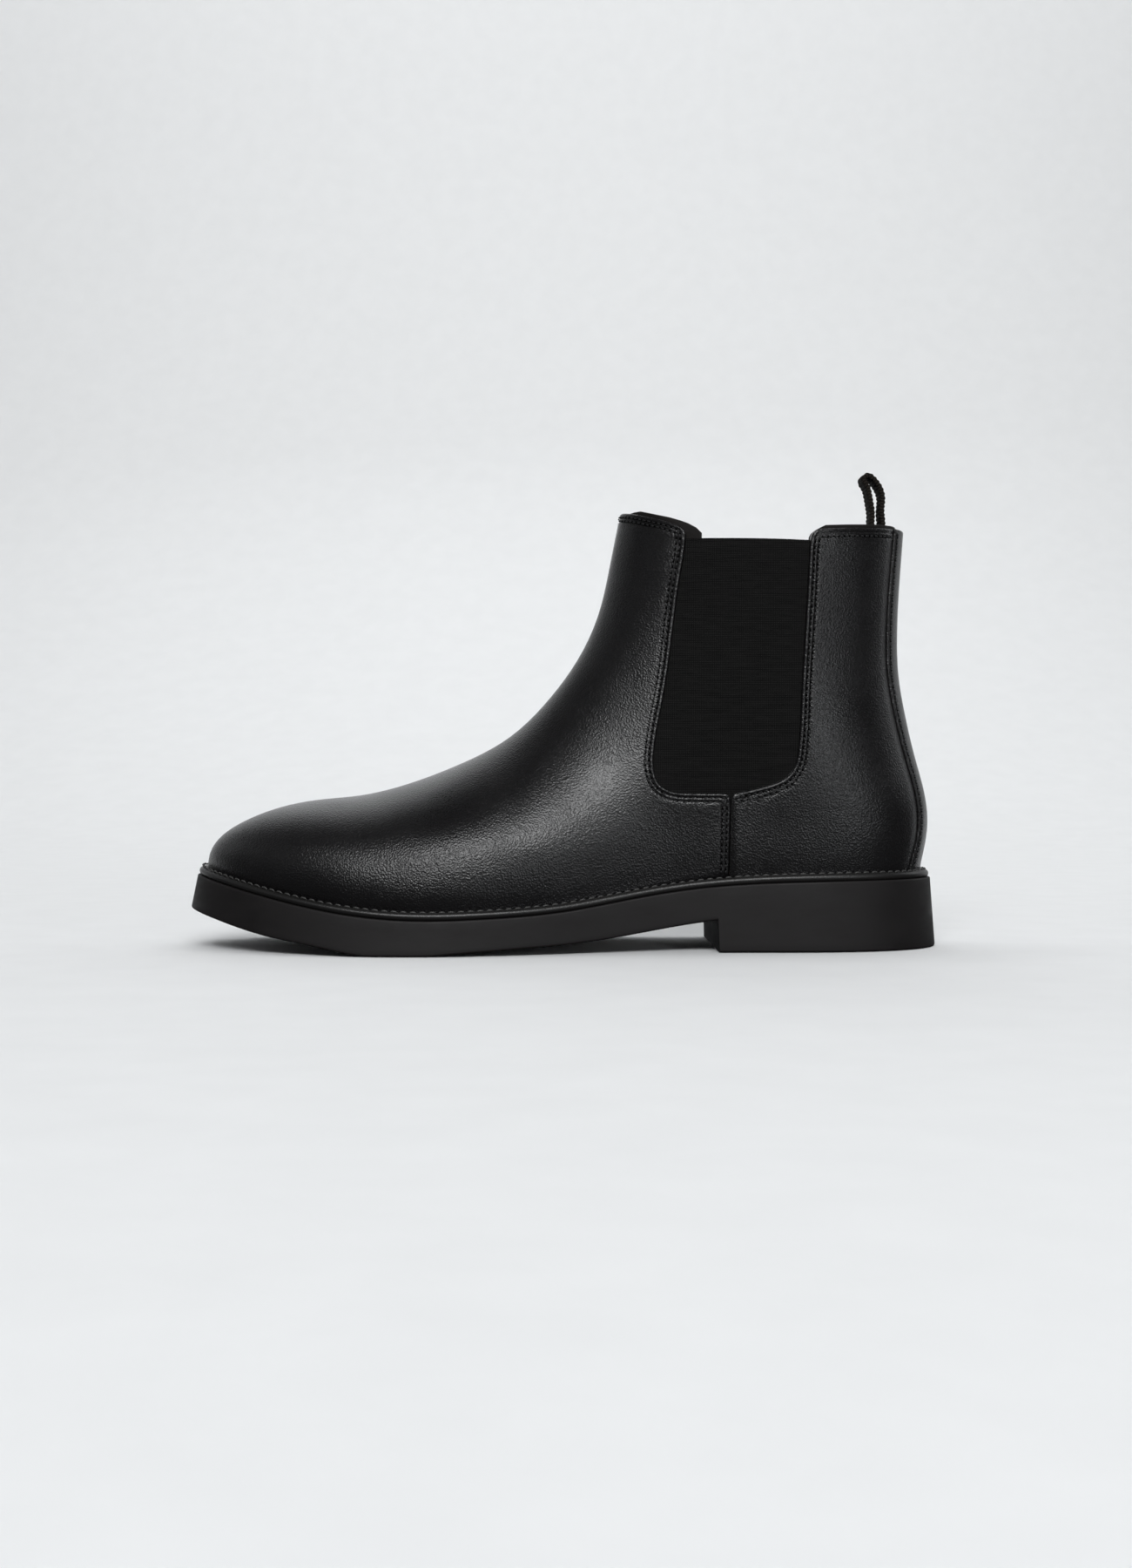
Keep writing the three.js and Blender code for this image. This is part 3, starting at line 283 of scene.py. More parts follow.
def build(name, points, faces, material, *, slot=None, replaces=(), uv=None, ride=True):
    """Mesh object from points in millimetres; it rides on the boot unless ride is off."""
    mesh = bpy.data.meshes.new(name)
    mesh.from_pydata(((points + SHIFT) * MM).tolist(), [], faces)
    mesh.validate()
    mesh.polygons.foreach_set("use_smooth", [True] * len(mesh.polygons))
    if uv is not None:
        layer = mesh.uv_layers.new(name="UVMap")
        index = np.zeros(len(mesh.loops), np.int32)
        mesh.loops.foreach_get("vertex_index", index)
        layer.data.foreach_set("uv", uv[index].astype(np.float32).ravel())
    mesh.materials.append(material)
    mesh.update()
    obj = bpy.data.objects.new(name, mesh)
    bpy.context.scene.collection.objects.link(obj)
    if ride:
        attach(obj, "boot")
    if replaces:
        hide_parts(*replaces)
    return obj


def grid_faces(rows, cols, offset=0, flip=False):
    """Quads of a grid of rows * cols points."""
    i = np.arange(rows - 1)[:, None] * cols + np.arange(cols - 1)[None, :] + offset
    quads = np.stack([i, i + 1, i + cols + 1, i + cols], axis=-1).reshape(-1, 4)
    return (quads[:, ::-1] if flip else quads).tolist()


def shell(outer, inner):
    """Points and faces of a closed shell between two matching grids."""
    rows, cols = outer.shape[:2]
    n = rows * cols
    points = np.concatenate([outer.reshape(-1, 3), inner.reshape(-1, 3)])
    faces = grid_faces(rows, cols) + grid_faces(rows, cols, n, flip=True)
    for c in range(cols - 1):
        a, b = (rows - 1) * cols + c, (rows - 1) * cols + c + 1
        faces.append([c + 1, c, n + c, n + c + 1])
        faces.append([a, b, n + b, n + a])
    for r in range(rows - 1):
        a, b = r * cols, (r + 1) * cols
        faces.append([a, b, n + b, n + a])
        faces.append([b + cols - 1, a + cols - 1, n + a + cols - 1, n + b + cols - 1])
    row, col = rows // 2, cols // 2
    outward = outer[row, col] - inner[row, col]
    across = np.cross(outer[row, col + 1] - outer[row, col], outer[row + 1, col] - outer[row, col])
    if np.dot(outward, across) < 0:
        faces = [f[::-1] for f in faces]
    return points, faces


def grid_uv(points):
    """UV in millimetres along the rows and columns of a grid."""
    du = np.linalg.norm(np.diff(points, axis=1), axis=2)
    dv = np.linalg.norm(np.diff(points, axis=0), axis=2)
    u = np.concatenate([np.zeros((points.shape[0], 1)), np.cumsum(du, axis=1)], axis=1)
    v = np.concatenate([np.zeros((1, points.shape[1])), np.cumsum(dv, axis=0)], axis=0)
    return np.stack([u, v], axis=-1)


def tube_faces(rings, sides, start=0, caps=False):
    """Quads between the rings of a tube of rings * sides points, and its end caps."""
    faces = []
    for i in range(rings - 1):
        a, b = start + i * sides, start + (i + 1) * sides
        for j in range(sides):
            k = (j + 1) % sides
            faces.append([a + j, a + k, b + k, b + j])
    if caps:
        faces.append([start + j for j in range(sides)][::-1])
        faces.append([start + (rings - 1) * sides + j for j in range(sides)])
    return faces


def panel(name, x, z, side, depth, inner_depth, material, uv_of=None, **kw):
    """Closed piece of the upper between two depths; uv_of makes UVs from its outer grid."""
    outer, _ = surface(x, z, side, depth)
    inner, _ = surface(x, z, side, inner_depth)
    points, faces = shell(outer, inner)
    uv = np.tile(uv_of(outer).reshape(-1, 2), (2, 1)) if uv_of else None
    return build(name, points, faces, material, uv=uv, **kw)


def rounded(d, radius):
    """Depth of a rounded edge at distance d from it."""
    k = np.clip(1 - d / radius, 0, 1)
    return radius * (1 - np.sqrt(np.maximum(0, 1 - k * k)))


def groove(d, at, depth=0.32, half=0.40):
    """Depth that a row of stitches pulls in, at distance at from the edge."""
    return depth * np.exp(-((d - at) / half) ** 2)


# ---- materials

TAPE_HALF_WIDTH = 5.0


class Nodes:
    """Short hand for building one node material."""

    def __init__(self, name):
        self.material = bpy.data.materials.new(name)
        self.material.use_nodes = True
        self.tree = self.material.node_tree
        self.bsdf = self.tree.nodes["Principled BSDF"]
        self.coord = self.add("ShaderNodeTexCoord")

    def add(self, kind, **inputs):
        node = self.tree.nodes.new(kind)
        for key, value in inputs.items():
            node.inputs[key.replace("_", " ")].default_value = value
        return node

    def link(self, output, socket):
        self.tree.links.new(output, socket)

    def mapped(self, scale=(1, 1, 1)):
        node = self.add("ShaderNodeMapping", Scale=scale)
        self.link(self.coord.outputs["Object"], node.inputs["Vector"])
        return node.outputs["Vector"]

    def uv(self):
        node = self.add("ShaderNodeSeparateXYZ")
        self.link(self.coord.outputs["UV"], node.inputs["Vector"])
        return node.outputs["X"], node.outputs["Y"]

    def noise(self, vector, scale, detail, rough):
        node = self.add("ShaderNodeTexNoise", Scale=scale, Detail=detail, Roughness=rough)
        self.link(vector, node.inputs["Vector"])
        return node.outputs["Fac"]

    def voronoi(self, vector, scale, smooth=None):
        node = self.add("ShaderNodeTexVoronoi", Scale=scale)
        if smooth is not None:
            node.feature = "SMOOTH_F1"
            node.inputs["Smoothness"].default_value = smooth
        self.link(vector, node.inputs["Vector"])
        return node.outputs["Distance"]

    def math(self, operation, a, b=None):
        node = self.add("ShaderNodeMath")
        node.operation = operation
        for socket, value in zip(node.inputs, (a, b)):
            if isinstance(value, (int, float)):
                socket.default_value = value
            elif value is not None:
                self.link(value, socket)
        return node.outputs[0]

    def weighted(self, *terms):
        """Sum of (socket, weight) pairs."""
        total = None
        for socket, weight in terms:
            term = self.math("MULTIPLY", socket, weight)
            total = term if total is None else self.math("ADD", total, term)
        return total

    def wave(self, value, pitch):
        return self.math("SINE", self.math("MULTIPLY", value, 2 * math.pi / pitch))

    def remap(self, value, low, high, to_low, to_high):
        node = self.add("ShaderNodeMapRange", From_Min=low, From_Max=high,
                        To_Min=to_low, To_Max=to_high)
        self.link(value, node.inputs["Value"])
        return node.outputs["Result"]

    def ramp(self, value, low, high):
        """Colour ramp between two (position, colour) stops."""
        node = self.add("ShaderNodeValToRGB")
        for element, (position, color) in zip(node.color_ramp.elements, (low, high)):
            element.position = position
            element.color = (*color, 1)
        self.link(value, node.inputs["Fac"])
        return node.outputs["Color"]

    def bump(self, height, strength, distance, normal=None):
        node = self.add("ShaderNodeBump", Strength=strength, Distance=distance)
        self.link(height, node.inputs["Height"])
        if normal is not None:
            self.link(normal, node.inputs["Normal"])
        return node.outputs["Normal"]

    def finish(self, color, roughness, normal, **fixed):
        self.link(color, self.bsdf.inputs["Base Color"])
        self.link(normal, self.bsdf.inputs["Normal"])
        if isinstance(roughness, float):
            self.bsdf.inputs["Roughness"].default_value = roughness
        else:
            self.link(roughness, self.bsdf.inputs["Roughness"])
        for key, value in fixed.items():
            self.bsdf.inputs[key.replace("_", " ")].default_value = value
        return self.material


def leather_material(name, dark, light, rough, grain, gloss=0.5):
    """Grained leather: pebbled cells and pores over slow changes of tone."""
    k = Nodes(name)
    obj = k.mapped()
    cells = k.voronoi(obj, 1450, 0.35)
    fine = k.noise(obj, 2600, 3, 0.6)
    pores = k.remap(k.voronoi(obj, 2300), 0.0, 0.25, 1.0, 0.0)
    soft = k.noise(obj, 26, 2, 0.5)
    broad = k.noise(obj, 9, 2, 0.5)
    height = k.math("MULTIPLY", k.weighted((cells, 0.9), (fine, 0.35), (pores, -0.25)),
                    k.remap(soft, 0.35, 0.7, 0.55, 1.0))
    normal = k.bump(soft, 0.08, 0.0006, k.bump(height, grain, 0.00026))
    color = k.ramp(k.weighted((soft, 0.6), (broad, 0.4)), (0.3, dark), (0.72, light))
    roughness = k.remap(k.weighted((fine, 0.5), (soft, 0.5)), 0.3, 0.7, *rough)
    return k.finish(color, roughness, normal, Specular_IOR_Level=gloss)


def elastic_material():
    """Woven elastic: ribs one way, picks the other, with fuzz and slow bands of tone."""
    k = Nodes("elastic_weave")
    u, v = k.uv()
    weave = k.math("MULTIPLY", k.math("ADD", k.wave(u, 0.75), 1.0),
                   k.math("ADD", k.wave(v, 0.72), 1.0))
    fuzz = k.noise(k.mapped(), 3200, 3, 0.6)
    broad = k.noise(k.mapped((1, 1, 9)), 110, 3, 0.55)
    normal = k.bump(k.weighted((weave, 0.25), (fuzz, 0.35)), 0.8, 0.00025)
    color = k.ramp(k.weighted((weave, 0.16), (broad, 0.4)),
                   (0.15, (0.0004, 0.0004, 0.0004)), (0.7, (0.0170, 0.0165, 0.0160)))
    return k.finish(color, 0.88, normal, Specular_IOR_Level=0.18)


def rubber_material():
    """Matt sole rubber with a fine tooth and faint scuffs."""
    k = Nodes("sole_rubber")
    fine = k.noise(k.mapped(), 2200, 4, 0.65)
    scuff = k.noise(k.mapped((1, 1, 3)), 45, 5, 0.6)
    normal = k.bump(fine, 0.22, 0.00012, k.bump(scuff, 0.1, 0.0004))
    color = k.ramp(k.weighted((fine, 0.35), (scuff, 0.65)),
                   (0.3, (0.0050, 0.0042, 0.0044)), (0.75, (0.0100, 0.0084, 0.0087)))
    return k.finish(color, k.remap(scuff, 0.3, 0.7, 0.5, 0.68), normal, Specular_IOR_Level=0.32)


def webbing_material():
    """Herringbone tape; u runs along it and v across it, in millimetres."""
    k = Nodes("twill_webbing")
    u, v = k.uv()
    slope = k.math("ABSOLUTE", k.math("SUBTRACT", v, TAPE_HALF_WIDTH))
    diagonal = k.wave(k.math("ADD", u, slope), 1.15)
    fuzz = k.noise(k.mapped(), 3000, 3, 0.6)
    height = k.weighted((diagonal, 0.5), (k.wave(v, 0.55), 0.25), (fuzz, 0.5))
    color = k.ramp(k.remap(height, -0.6, 1.0, 0.0, 1.0),
                   (0.15, (0.0030, 0.0025, 0.0021)), (0.85, (0.0205, 0.0165, 0.0130)))
    return k.finish(color, 0.9, k.bump(height, 0.8, 0.0003), Specular_IOR_Level=0.2)


def plain_material(name, dark, light, scale, rough, bump=0.2, distance=0.0002, **fixed):
    """One noise that drives colour, roughness and relief."""
    k = Nodes(name)
    n = k.noise(k.mapped(), scale, 5, 0.6)
    return k.finish(k.ramp(n, (0.3, dark), (0.7, light)),
                    k.remap(n, 0.3, 0.7, rough - 0.08, rough + 0.08),
                    k.bump(n, bump, distance), **fixed)


LEATHER = leather_material("calf_leather", (0.0038, 0.0035, 0.0038), (0.0066, 0.0061, 0.0066),
                           (0.24, 0.35), grain=0.8)
LINING = leather_material("lining_leather", (0.0038, 0.0028, 0.0024), (0.0085, 0.0063, 0.0053),
                          (0.62, 0.78), grain=0.35, gloss=0.25)
WELT = leather_material("welt_leather", (0.006, 0.0057, 0.0056), (0.012, 0.0115, 0.011),
                        (0.32, 0.46), grain=0.2)
ELASTIC = elastic_material()
RUBBER = rubber_material()
WEBBING = webbing_material()
SUEDE = plain_material("heel_grip_suede", (0.012, 0.011, 0.010), (0.03, 0.027, 0.025),
                       900, 0.9, bump=0.4, Specular_IOR_Level=0.2)
THREAD = plain_material("waxed_thread", (0.006, 0.006, 0.0065), (0.016, 0.016, 0.017),
                        2500, 0.45, bump=0.35, distance=0.0001)
WELT_THREAD = plain_material("welt_thread", (0.020, 0.020, 0.020), (0.055, 0.054, 0.052),
                             2500, 0.5, bump=0.35, distance=0.0001)
# Near-black material for rods set into the needle holes: painted shade standing in for the dark of
# the holes.
HOLE_SHADE = plain_material("needle_hole_shade", (0.0006, 0.0006, 0.0006), (0.0014, 0.0014, 0.0014),
                      2500, 0.95, bump=0.1, Specular_IOR_Level=0.05)
BOARD = plain_material("leather_board", (0.25, 0.17, 0.1), (0.42, 0.3, 0.18), 700, 0.85)
CLOTH = plain_material("backing_cloth", (0.24, 0.22, 0.18), (0.34, 0.31, 0.26), 1500, 0.92)
CORK = plain_material("cork", (0.2, 0.12, 0.06), (0.5, 0.33, 0.17), 350, 0.9,
                      bump=0.6, distance=0.0006)
FOAM = plain_material("foam", (0.03, 0.03, 0.033), (0.06, 0.06, 0.065), 1800, 0.92)
STEEL = plain_material("steel", (0.45, 0.45, 0.46), (0.62, 0.62, 0.63), 500, 0.38,
                       bump=0.08, Metallic=1.0)

for node, material in {
    "toe_puff": BOARD, "heel_counter": BOARD, "insole_board": BOARD, "vamp_backer": CLOTH,
    "bottom_filler": CORK, "heel_core": FOAM, "heel_pad": FOAM, "shank": STEEL,
    **{f"heel_nail_{i}": STEEL for i in range(1, 6)},
}.items():
    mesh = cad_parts[node].data
    mesh.materials.clear()
    mesh.materials.append(material)


# ---- vamp

LEATHER_THICKNESS, LEATHER_EDGE = 1.5, 0.75
GUSSET_ROWS = (1.7, 3.2)
VAMP_SWEEP, VAMP_CURL, VAMP_CROWD = 1.995, 1.25, 1.35
CREST_RUN = Spline([0, 0.06, 0.2, 0.42, 0.7, 1], [5, 11, 30, 72, 147, COLLAR_RUN])
# Distances from a cut edge where a grid has rows, close together over its rounding and grooves.
NEAR_EDGE = np.array([0, 0.06, 0.18, 0.35, 0.6, 0.9, 1.2, 1.5, 1.8, 2.15, 2.5, 2.9, 3.3, 3.8,
                      4.4, 5.2, 6.4, 8.0])
VAMP_EDGE_THIN = thin(VAMP_EDGE)


def vamp_column(q, edge_run, us):
    """Side view line from the toe tip to the vamp's edge at edge_run, for column share q."""
    edge = at_run(VAMP_EDGE, np.array([edge_run]))[0]
    share = edge_run / run_of(VAMP_EDGE)[-1]
    stop = np.interp(edge_run, VAMP_AT, np.arange(len(VAMP_AT)))
    start_from = lerp(0.3, 0.78, float(np.clip((stop - 10) / 3, 0, 1)))
    bend = ease((us - start_from) / (1 - start_from))
    v = lerp(math.sin(q * math.pi / 2), share, bend)
    angle = VAMP_SWEEP * (1 - (1 - us) ** VAMP_CURL)
    reach = (1 - np.cos(angle)) / (1 - math.cos(VAMP_SWEEP))
    foot_x = lerp(MIDDLE - HALF_LENGTH, VAMP_EDGE[0, 0], reach)
    crest = np.minimum(CREST_RUN(us), COLLAR_RUN)
    cx, cz = front_x(crest), front_z(crest)
    cx[0], cz[0] = foot_x[0], foot_z(foot_x[0])
    a, b = VAMP_EDGE[0], VAMP_EDGE[-1]
    x = lerp(foot_x, cx, v) + bend * (edge[0] - lerp(a[0], b[0], share))
    z = lerp(foot_z(foot_x), cz, v) + bend * (edge[1] - lerp(a[1], b[1], share))
    return np.stack([x, z], axis=-1)


def vamp_grid(columns=64, rows=64):
    """Side view grid over both halves of the vamp, finer towards its cut edge."""
    stops = [0, 1, 2, 3, 4, 5, 6, 7, 8, 9, 10, 10.6, 11.2, 12, 13, 14, 15, 15.55, 15.87, 16]
    edge_stops = np.interp(np.linspace(0, 1, columns + 1), np.linspace(0, 1, len(stops)), stops)
    edge_runs = np.interp(edge_stops, np.arange(len(VAMP_AT)), VAMP_AT)
    us = np.linspace(0, 1, 260)
    lines = []
    for i, edge_run in enumerate(edge_runs):
        line = vamp_column(i / columns, edge_run, us)
        length = run_of(line)[-1]
        far = (length - NEAR_EDGE[-1]) * np.linspace(0, 1, rows) ** VAMP_CROWD
        lines.append(at_run(line, np.concatenate([far[:-1], length - NEAR_EDGE[::-1]])))
    grid = np.stack(lines, axis=1)
    both = np.concatenate([grid, grid[:, -2::-1]], axis=1)
    side = np.concatenate([np.full(columns + 1, LATERAL), np.full(columns, MEDIAL)])
    return both[..., 0], both[..., 1], np.broadcast_to(side, both.shape[:2])


def vamp_piece():
    x, z, side = vamp_grid()
    from_edge = distance_to(VAMP_EDGE_THIN, x, z)
    depth = rounded(from_edge, LEATHER_EDGE) + sum(groove(from_edge, at) for at in GUSSET_ROWS)
    panel("vamp_leather", x, z, side, depth, LEATHER_THICKNESS, LEATHER, uv_of=grid_uv,
          slot="upper_leather", replaces=["vamp"])


vamp_piece()


# ---- quarters

QUARTER_OUTLINE = thin(np.vstack([QUARTER_EDGE, COLLAR_BACK_LINE[1:]]))
QUARTER_INNER = 2.6
SEAM_SINK, SEAM_RUN = 1.25, 4.0
STRIP_FROM_X, STRIP_SINK, STRIP_RUN = 90, 1.0, 5.0


def quarter_grid(rows, columns, stop_short):
    """Side view grid of one quarter, from its cut edge to the back line."""
    top = QUARTER_AT[-1]
    near = NEAR_EDGE[-1]
    runs = np.concatenate([np.linspace(0, top - near, rows), top - NEAR_EDGE[-2::-1]])
    stops = [0, 1, 2, 3, 4, 5, 6, 7, 8, 9, 10, 10.6, 11.3, 12, 13, 14, 15]
    last = len(stops) - 1
    stop = np.interp(runs, QUARTER_AT, np.arange(len(QUARTER_AT)))
    row = np.interp(stop, stops, np.arange(last + 1))
    back_total = run_of(BACK_LINE)[-1]
    back_run = Spline([0, 3, 8, 11, last], [0, 22, 46, 92, back_total])
    turn = np.linspace(0, 1, columns) * math.pi / 2 * (1 - stop_short)
    lines = []
    for run, k in zip(runs, row):
        start = at_run(QUARTER_EDGE, np.array([run]))[0]
        end = at_run(BACK_LINE, np.array([min(float(back_run(k)), back_total)]))[0]
        length = np.linalg.norm(end - start)
        rest = near / length + (1 - near / length) * np.sin(turn)
        t = np.concatenate([NEAR_EDGE / length, rest[1:]])
        x = lerp(start[0], end[0], t)
        sag = (1 - k / last) ** 4 * (foot_z(x) - lerp(QUARTER_EDGE[0, 1], BACK_LINE[0, 1], t))
        lines.append(np.stack([x, lerp(start[1], end[1], t) + sag], axis=-1))
    return np.stack(lines)


def under_strip(x, z, side):
    """How far a quarter sinks to pass under the strip down the back."""
    y = np.sqrt(np.maximum(0, width_squared(x, z, side)))
    rise = ease((y - backstay_half(z) + 1.0) / STRIP_RUN)
    return np.where(x < STRIP_FROM_X, 0.0, STRIP_SINK * (1 - rise))


def quarter_piece(label, side, grid):
    x, z = grid[..., 0], grid[..., 1]
    from_edge = distance_to(QUARTER_OUTLINE, x, z)
    under_vamp = SEAM_SINK * (1 - ease((x - SEAM_X + 1.2) / SEAM_RUN))
    seam = np.where(z < GUSSET_Z - 0.5, under_vamp, 0.0) * (1 - ease((z - GUSSET_Z + 5) / SEAM_RUN))
    grooves = np.where(z > 58.0, 1.0, 0.0) * sum(groove(from_edge, at) for at in GUSSET_ROWS)
    depth = np.maximum(rounded(from_edge, LEATHER_EDGE), seam) + grooves + under_strip(x, z, side)
    panel(f"quarter_{label}_leather", x, z, np.full_like(x, side), depth, QUARTER_INNER, LEATHER,
          uv_of=grid_uv, slot="upper_leather", replaces=[f"quarter_{label}"])


QUARTER_GRID = quarter_grid(rows=70, columns=44, stop_short=0.004)
quarter_piece("lateral", LATERAL, QUARTER_GRID)
quarter_piece("medial", MEDIAL, QUARTER_GRID)


# ---- strip down the back

BACK_SEARCH = 50
STRIP_ROW = 1.5


def x_at_half_width(z, side, half):
    """Place along x where the upper is half wide at height z, by bisection from the back."""
    high = back_x(z)
    low = high - BACK_SEARCH
    for _ in range(40):
        mid = (low + high) / 2
        wide = width_squared(mid, z, side) > half * half
        low, high = np.where(wide, mid, low), np.where(wide, high, mid)
    return (low + high) / 2


def strip_grid(zs, shares, half_of):
    """Grid over a strip round the back; shares run from -1 to 1 across its half_of(z) each way."""
    z = np.repeat(zs[:, None], len(shares), 1)
    side = np.where(shares < 0, LATERAL, MEDIAL)[None, :] * np.ones_like(z)
    return x_at_half_width(z, side, np.abs(shares)[None, :] * half_of(z)), z, side


def backstay_piece():
    below_top = np.array([1.2, 0.9, 0.6, 0.35, 0.18, 0.06, 0])
    zs = np.concatenate([np.linspace(BACK_LINE[0, 1], COLLAR_BACK_Z - 1.6, 70),
                         COLLAR_BACK_Z - below_top])
    half = np.concatenate([np.linspace(0, 0.9, 12),
                           [0.925, 0.94, 0.955, 0.97, 0.98, 0.99, 0.996, 1.0]])
    shares = np.concatenate([-half[::-1], half[1:]])
    x, z, side = strip_grid(zs, shares, backstay_half)
    from_edge = backstay_half(z) * (1 - np.abs(shares)[None, :])
    depth = (rounded(np.minimum(from_edge * 1.3, COLLAR_BACK_Z - z), 0.7)
             + groove(from_edge, STRIP_ROW, 0.18))
    panel("backstay_leather", x, z, side, depth, 1.15, LEATHER, uv_of=grid_uv,
          slot="upper_leather", replaces=["backstay"])


backstay_piece()


# ---- elastic gussets

GUSSET_DEPTH, GUSSET_INNER = 1.5, 2.7
GUSSET_TOP_FRONT, GUSSET_TOP_BACK = (41.2, 161.6), (103.9, 159.9)
GUSSET_FRONT = dense([
    (SEAM_X, 54.8), (50, 54.8), (38, 56.4), (30.5, 63.3), (28.6, 72.8), (29.4, 84),
    (33.6, 107), (38, 140), GUSSET_TOP_FRONT])
GUSSET_BACK = dense([
    (SEAM_X, 54.8), (76, 55.8), (86, 58.2), (94, 63.8), (98, 72.8), (99.2, 84),
    (100.3, 103), (102.6, 138), GUSSET_TOP_BACK])


def gusset(label, side):
    shares = np.concatenate([np.linspace(0, 0.985, 90), [0.99, 0.994, 0.997, 0.999, 1.0]])
    front = at_run(GUSSET_FRONT, shares * run_of(GUSSET_FRONT)[-1])
    back = at_run(GUSSET_BACK, shares * run_of(GUSSET_BACK)[-1])
    grid = lerp(front[:, None], back[:, None], np.linspace(0, 1, 60)[None, :, None])
    x, z = grid[..., 0], grid[..., 1]
    (front_at, front_top), (back_at, back_top) = GUSSET_TOP_FRONT, GUSSET_TOP_BACK
    below_top = lerp(front_top, back_top, (x - front_at) / (back_at - front_at)) - z
    hems = sum(groove(below_top, at, 0.22, 0.3) for at in (1.2, 2.4))
    panel(f"gusset_{label}_elastic", x, z, side, GUSSET_DEPTH + rounded(below_top, 0.6) + hems,
          GUSSET_INNER, ELASTIC, uv_of=lambda outer: grid, slot="elastic",
          replaces=[f"gusset_{label}"])


gusset("lateral", LATERAL)
gusset("medial", MEDIAL)


# ---- linings

BEHIND_GUSSET = 2.95
COLLAR_CORNER = 13


def lining_depth(below_top):
    """Depth of the lining's outer face: against the leather at the top edge, deeper below it."""
    return lerp(1.62, 3.3, ease((below_top - 3) / 12))


def vamp_lining():
    """Lining of the vamp; behind the elastic its edge runs on past the leather's corner."""
    x, z, side = vamp_grid(columns=40, rows=36)
    from_edge = distance_to(VAMP_EDGE_THIN, x, z)
    below_top = distance_to(thin(VAMP_EDGE[COLLAR_CORNER * PER_SPAN:]), x, z)
    rise = 1.9 * ease((x - 24) / 6) * np.clip(1 - from_edge / 6.0, 0, 1) * (z > 158)
    past = (6.0 * ease((x - 36) / 10) * ease((z - 120) / 35) * np.clip(1 - from_edge / 16.0, 0, 1)
            * (1 - 0.75 * ease((z - 161) / 6)))
    near_gusset = ease((x - 30) / 10) * ease((166 - z) / 4)
    depth = np.maximum(lining_depth(below_top), lerp(0, BEHIND_GUSSET, near_gusset))
    depth = depth + rounded(np.where(z > 150, from_edge, 9), 0.5)
    x, z = x + past, z + rise
    depth = lerp(depth, np.maximum(depth, 3.0), ease((x - 43) / 4))
    inner_depth = lerp(2.7, 4.3, ease((below_top - 3) / 12)) + near_gusset * 0.6
    panel("vamp_lining_leather", x, z, side, depth, np.maximum(inner_depth, depth + 0.8), LINING,
          slot="lining_leather", replaces=["vamp_lining", "collar_tape_front"])


def quarter_lining():
    """Lining of both quarters in one piece, round the back."""
    grid = quarter_grid(rows=40, columns=24, stop_short=0.0)
    both = np.concatenate([grid, grid[:, -2::-1]], axis=1)
    x, z = both[..., 0], both[..., 1]
    columns = grid.shape[1]
    side = np.where(np.arange(x.shape[1]) < columns, LATERAL, MEDIAL)[None, :] * np.ones_like(x)
    below_top = distance_to(thin(COLLAR_BACK_LINE), x, z)
    from_edge = distance_to(QUARTER_OUTLINE, x, z)
    rise = 1.7 * np.clip(1 - below_top / 5, 0, 1) * ease((x - 97) / 6)
    near_gusset = 1 - ease((x - 100) / 6)
    strip = under_strip(x, z, side) * 0.6
    depth = np.maximum(lining_depth(below_top) + 1.1, lerp(0, BEHIND_GUSSET, near_gusset)) + strip
    depth = depth + rounded(np.where(z > 150, from_edge, 9), 0.5)
    panel("quarter_lining_leather", x, z + rise, side, depth,
          lining_depth(below_top) + 2.2 + strip, LINING, slot="lining_leather",
          replaces=["quarter_lining_lateral", "quarter_lining_medial", "collar_tape_back"])


def heel_grip():
    x, z, side = strip_grid(np.linspace(45, 161, 50), np.linspace(-1, 1, 31),
                            lambda z: lerp(30, 22, np.clip((z - 45) / 116, 0, 1)))
    panel("heel_grip_suede", x, z, side, 5.8, 6.4, SUEDE, slot="lining_leather",
          replaces=["heel_grip"])


vamp_lining()
quarter_lining()
heel_grip()


# ---- welt and sole

HEEL_X = 60.0
BOTTOM = Spline([-152, -132.7, -110, -96.5, -86.6, -74, -50, -40, -20, -3, 18, 45, 62],
                [17.6, 12.5, 6.6, 4.2, 2.2, 0, 0, 0.8, 2.2, 3.4, 5.8, 10.2, 12.6])
FLAT_FROM_X, FLAT_TO_X = -74, -50
SOLE_OUTSET = 4.0
TREAD_DEPTH, TREAD_HALF_WIDTH, TREAD_EDGE, TREAD_MARGIN = 1.6, 1.35, 0.25, 5
TREAD_AT = [-125 + i * 7.5 for i in range(12)] + [HEEL_X + 12 + i * 9.0 for i in range(8)]
TREAD_END_X = 141


def outline(angle, side, outset=0.0):
    """Plan point of the sole outline at an angle from the toe tip, moved out by outset."""
    def place(a):
        x = MIDDLE - HALF_LENGTH * np.cos(a)
        return np.stack([x, side * spread(x, side) * np.sin(a)], axis=-1)
    along = place(angle + 1e-3) - place(angle - 1e-3)
    along /= np.linalg.norm(along, axis=-1, keepdims=True)
    out = np.stack([-side * along[..., 1], side * along[..., 0]], axis=-1)
    return place(angle) + out * np.asarray(outset)[..., None]


def ring_points(angles, side, outset, z):
    """Points along the outline at the given outset and height."""
    p = outline(angles, side, outset * np.ones_like(angles))
    return np.stack([p[:, 0], p[:, 1], z * np.ones_like(angles)], axis=-1)


def bottom_z(x):
    return np.where((x > FLAT_FROM_X) & (x < FLAT_TO_X), 0.0, np.maximum(0.0, BOTTOM(x)))


def flare(x):
    """Outward slope of the sole's side."""
    return lerp(0.2, 0.07, ease((x + 150) / 190))


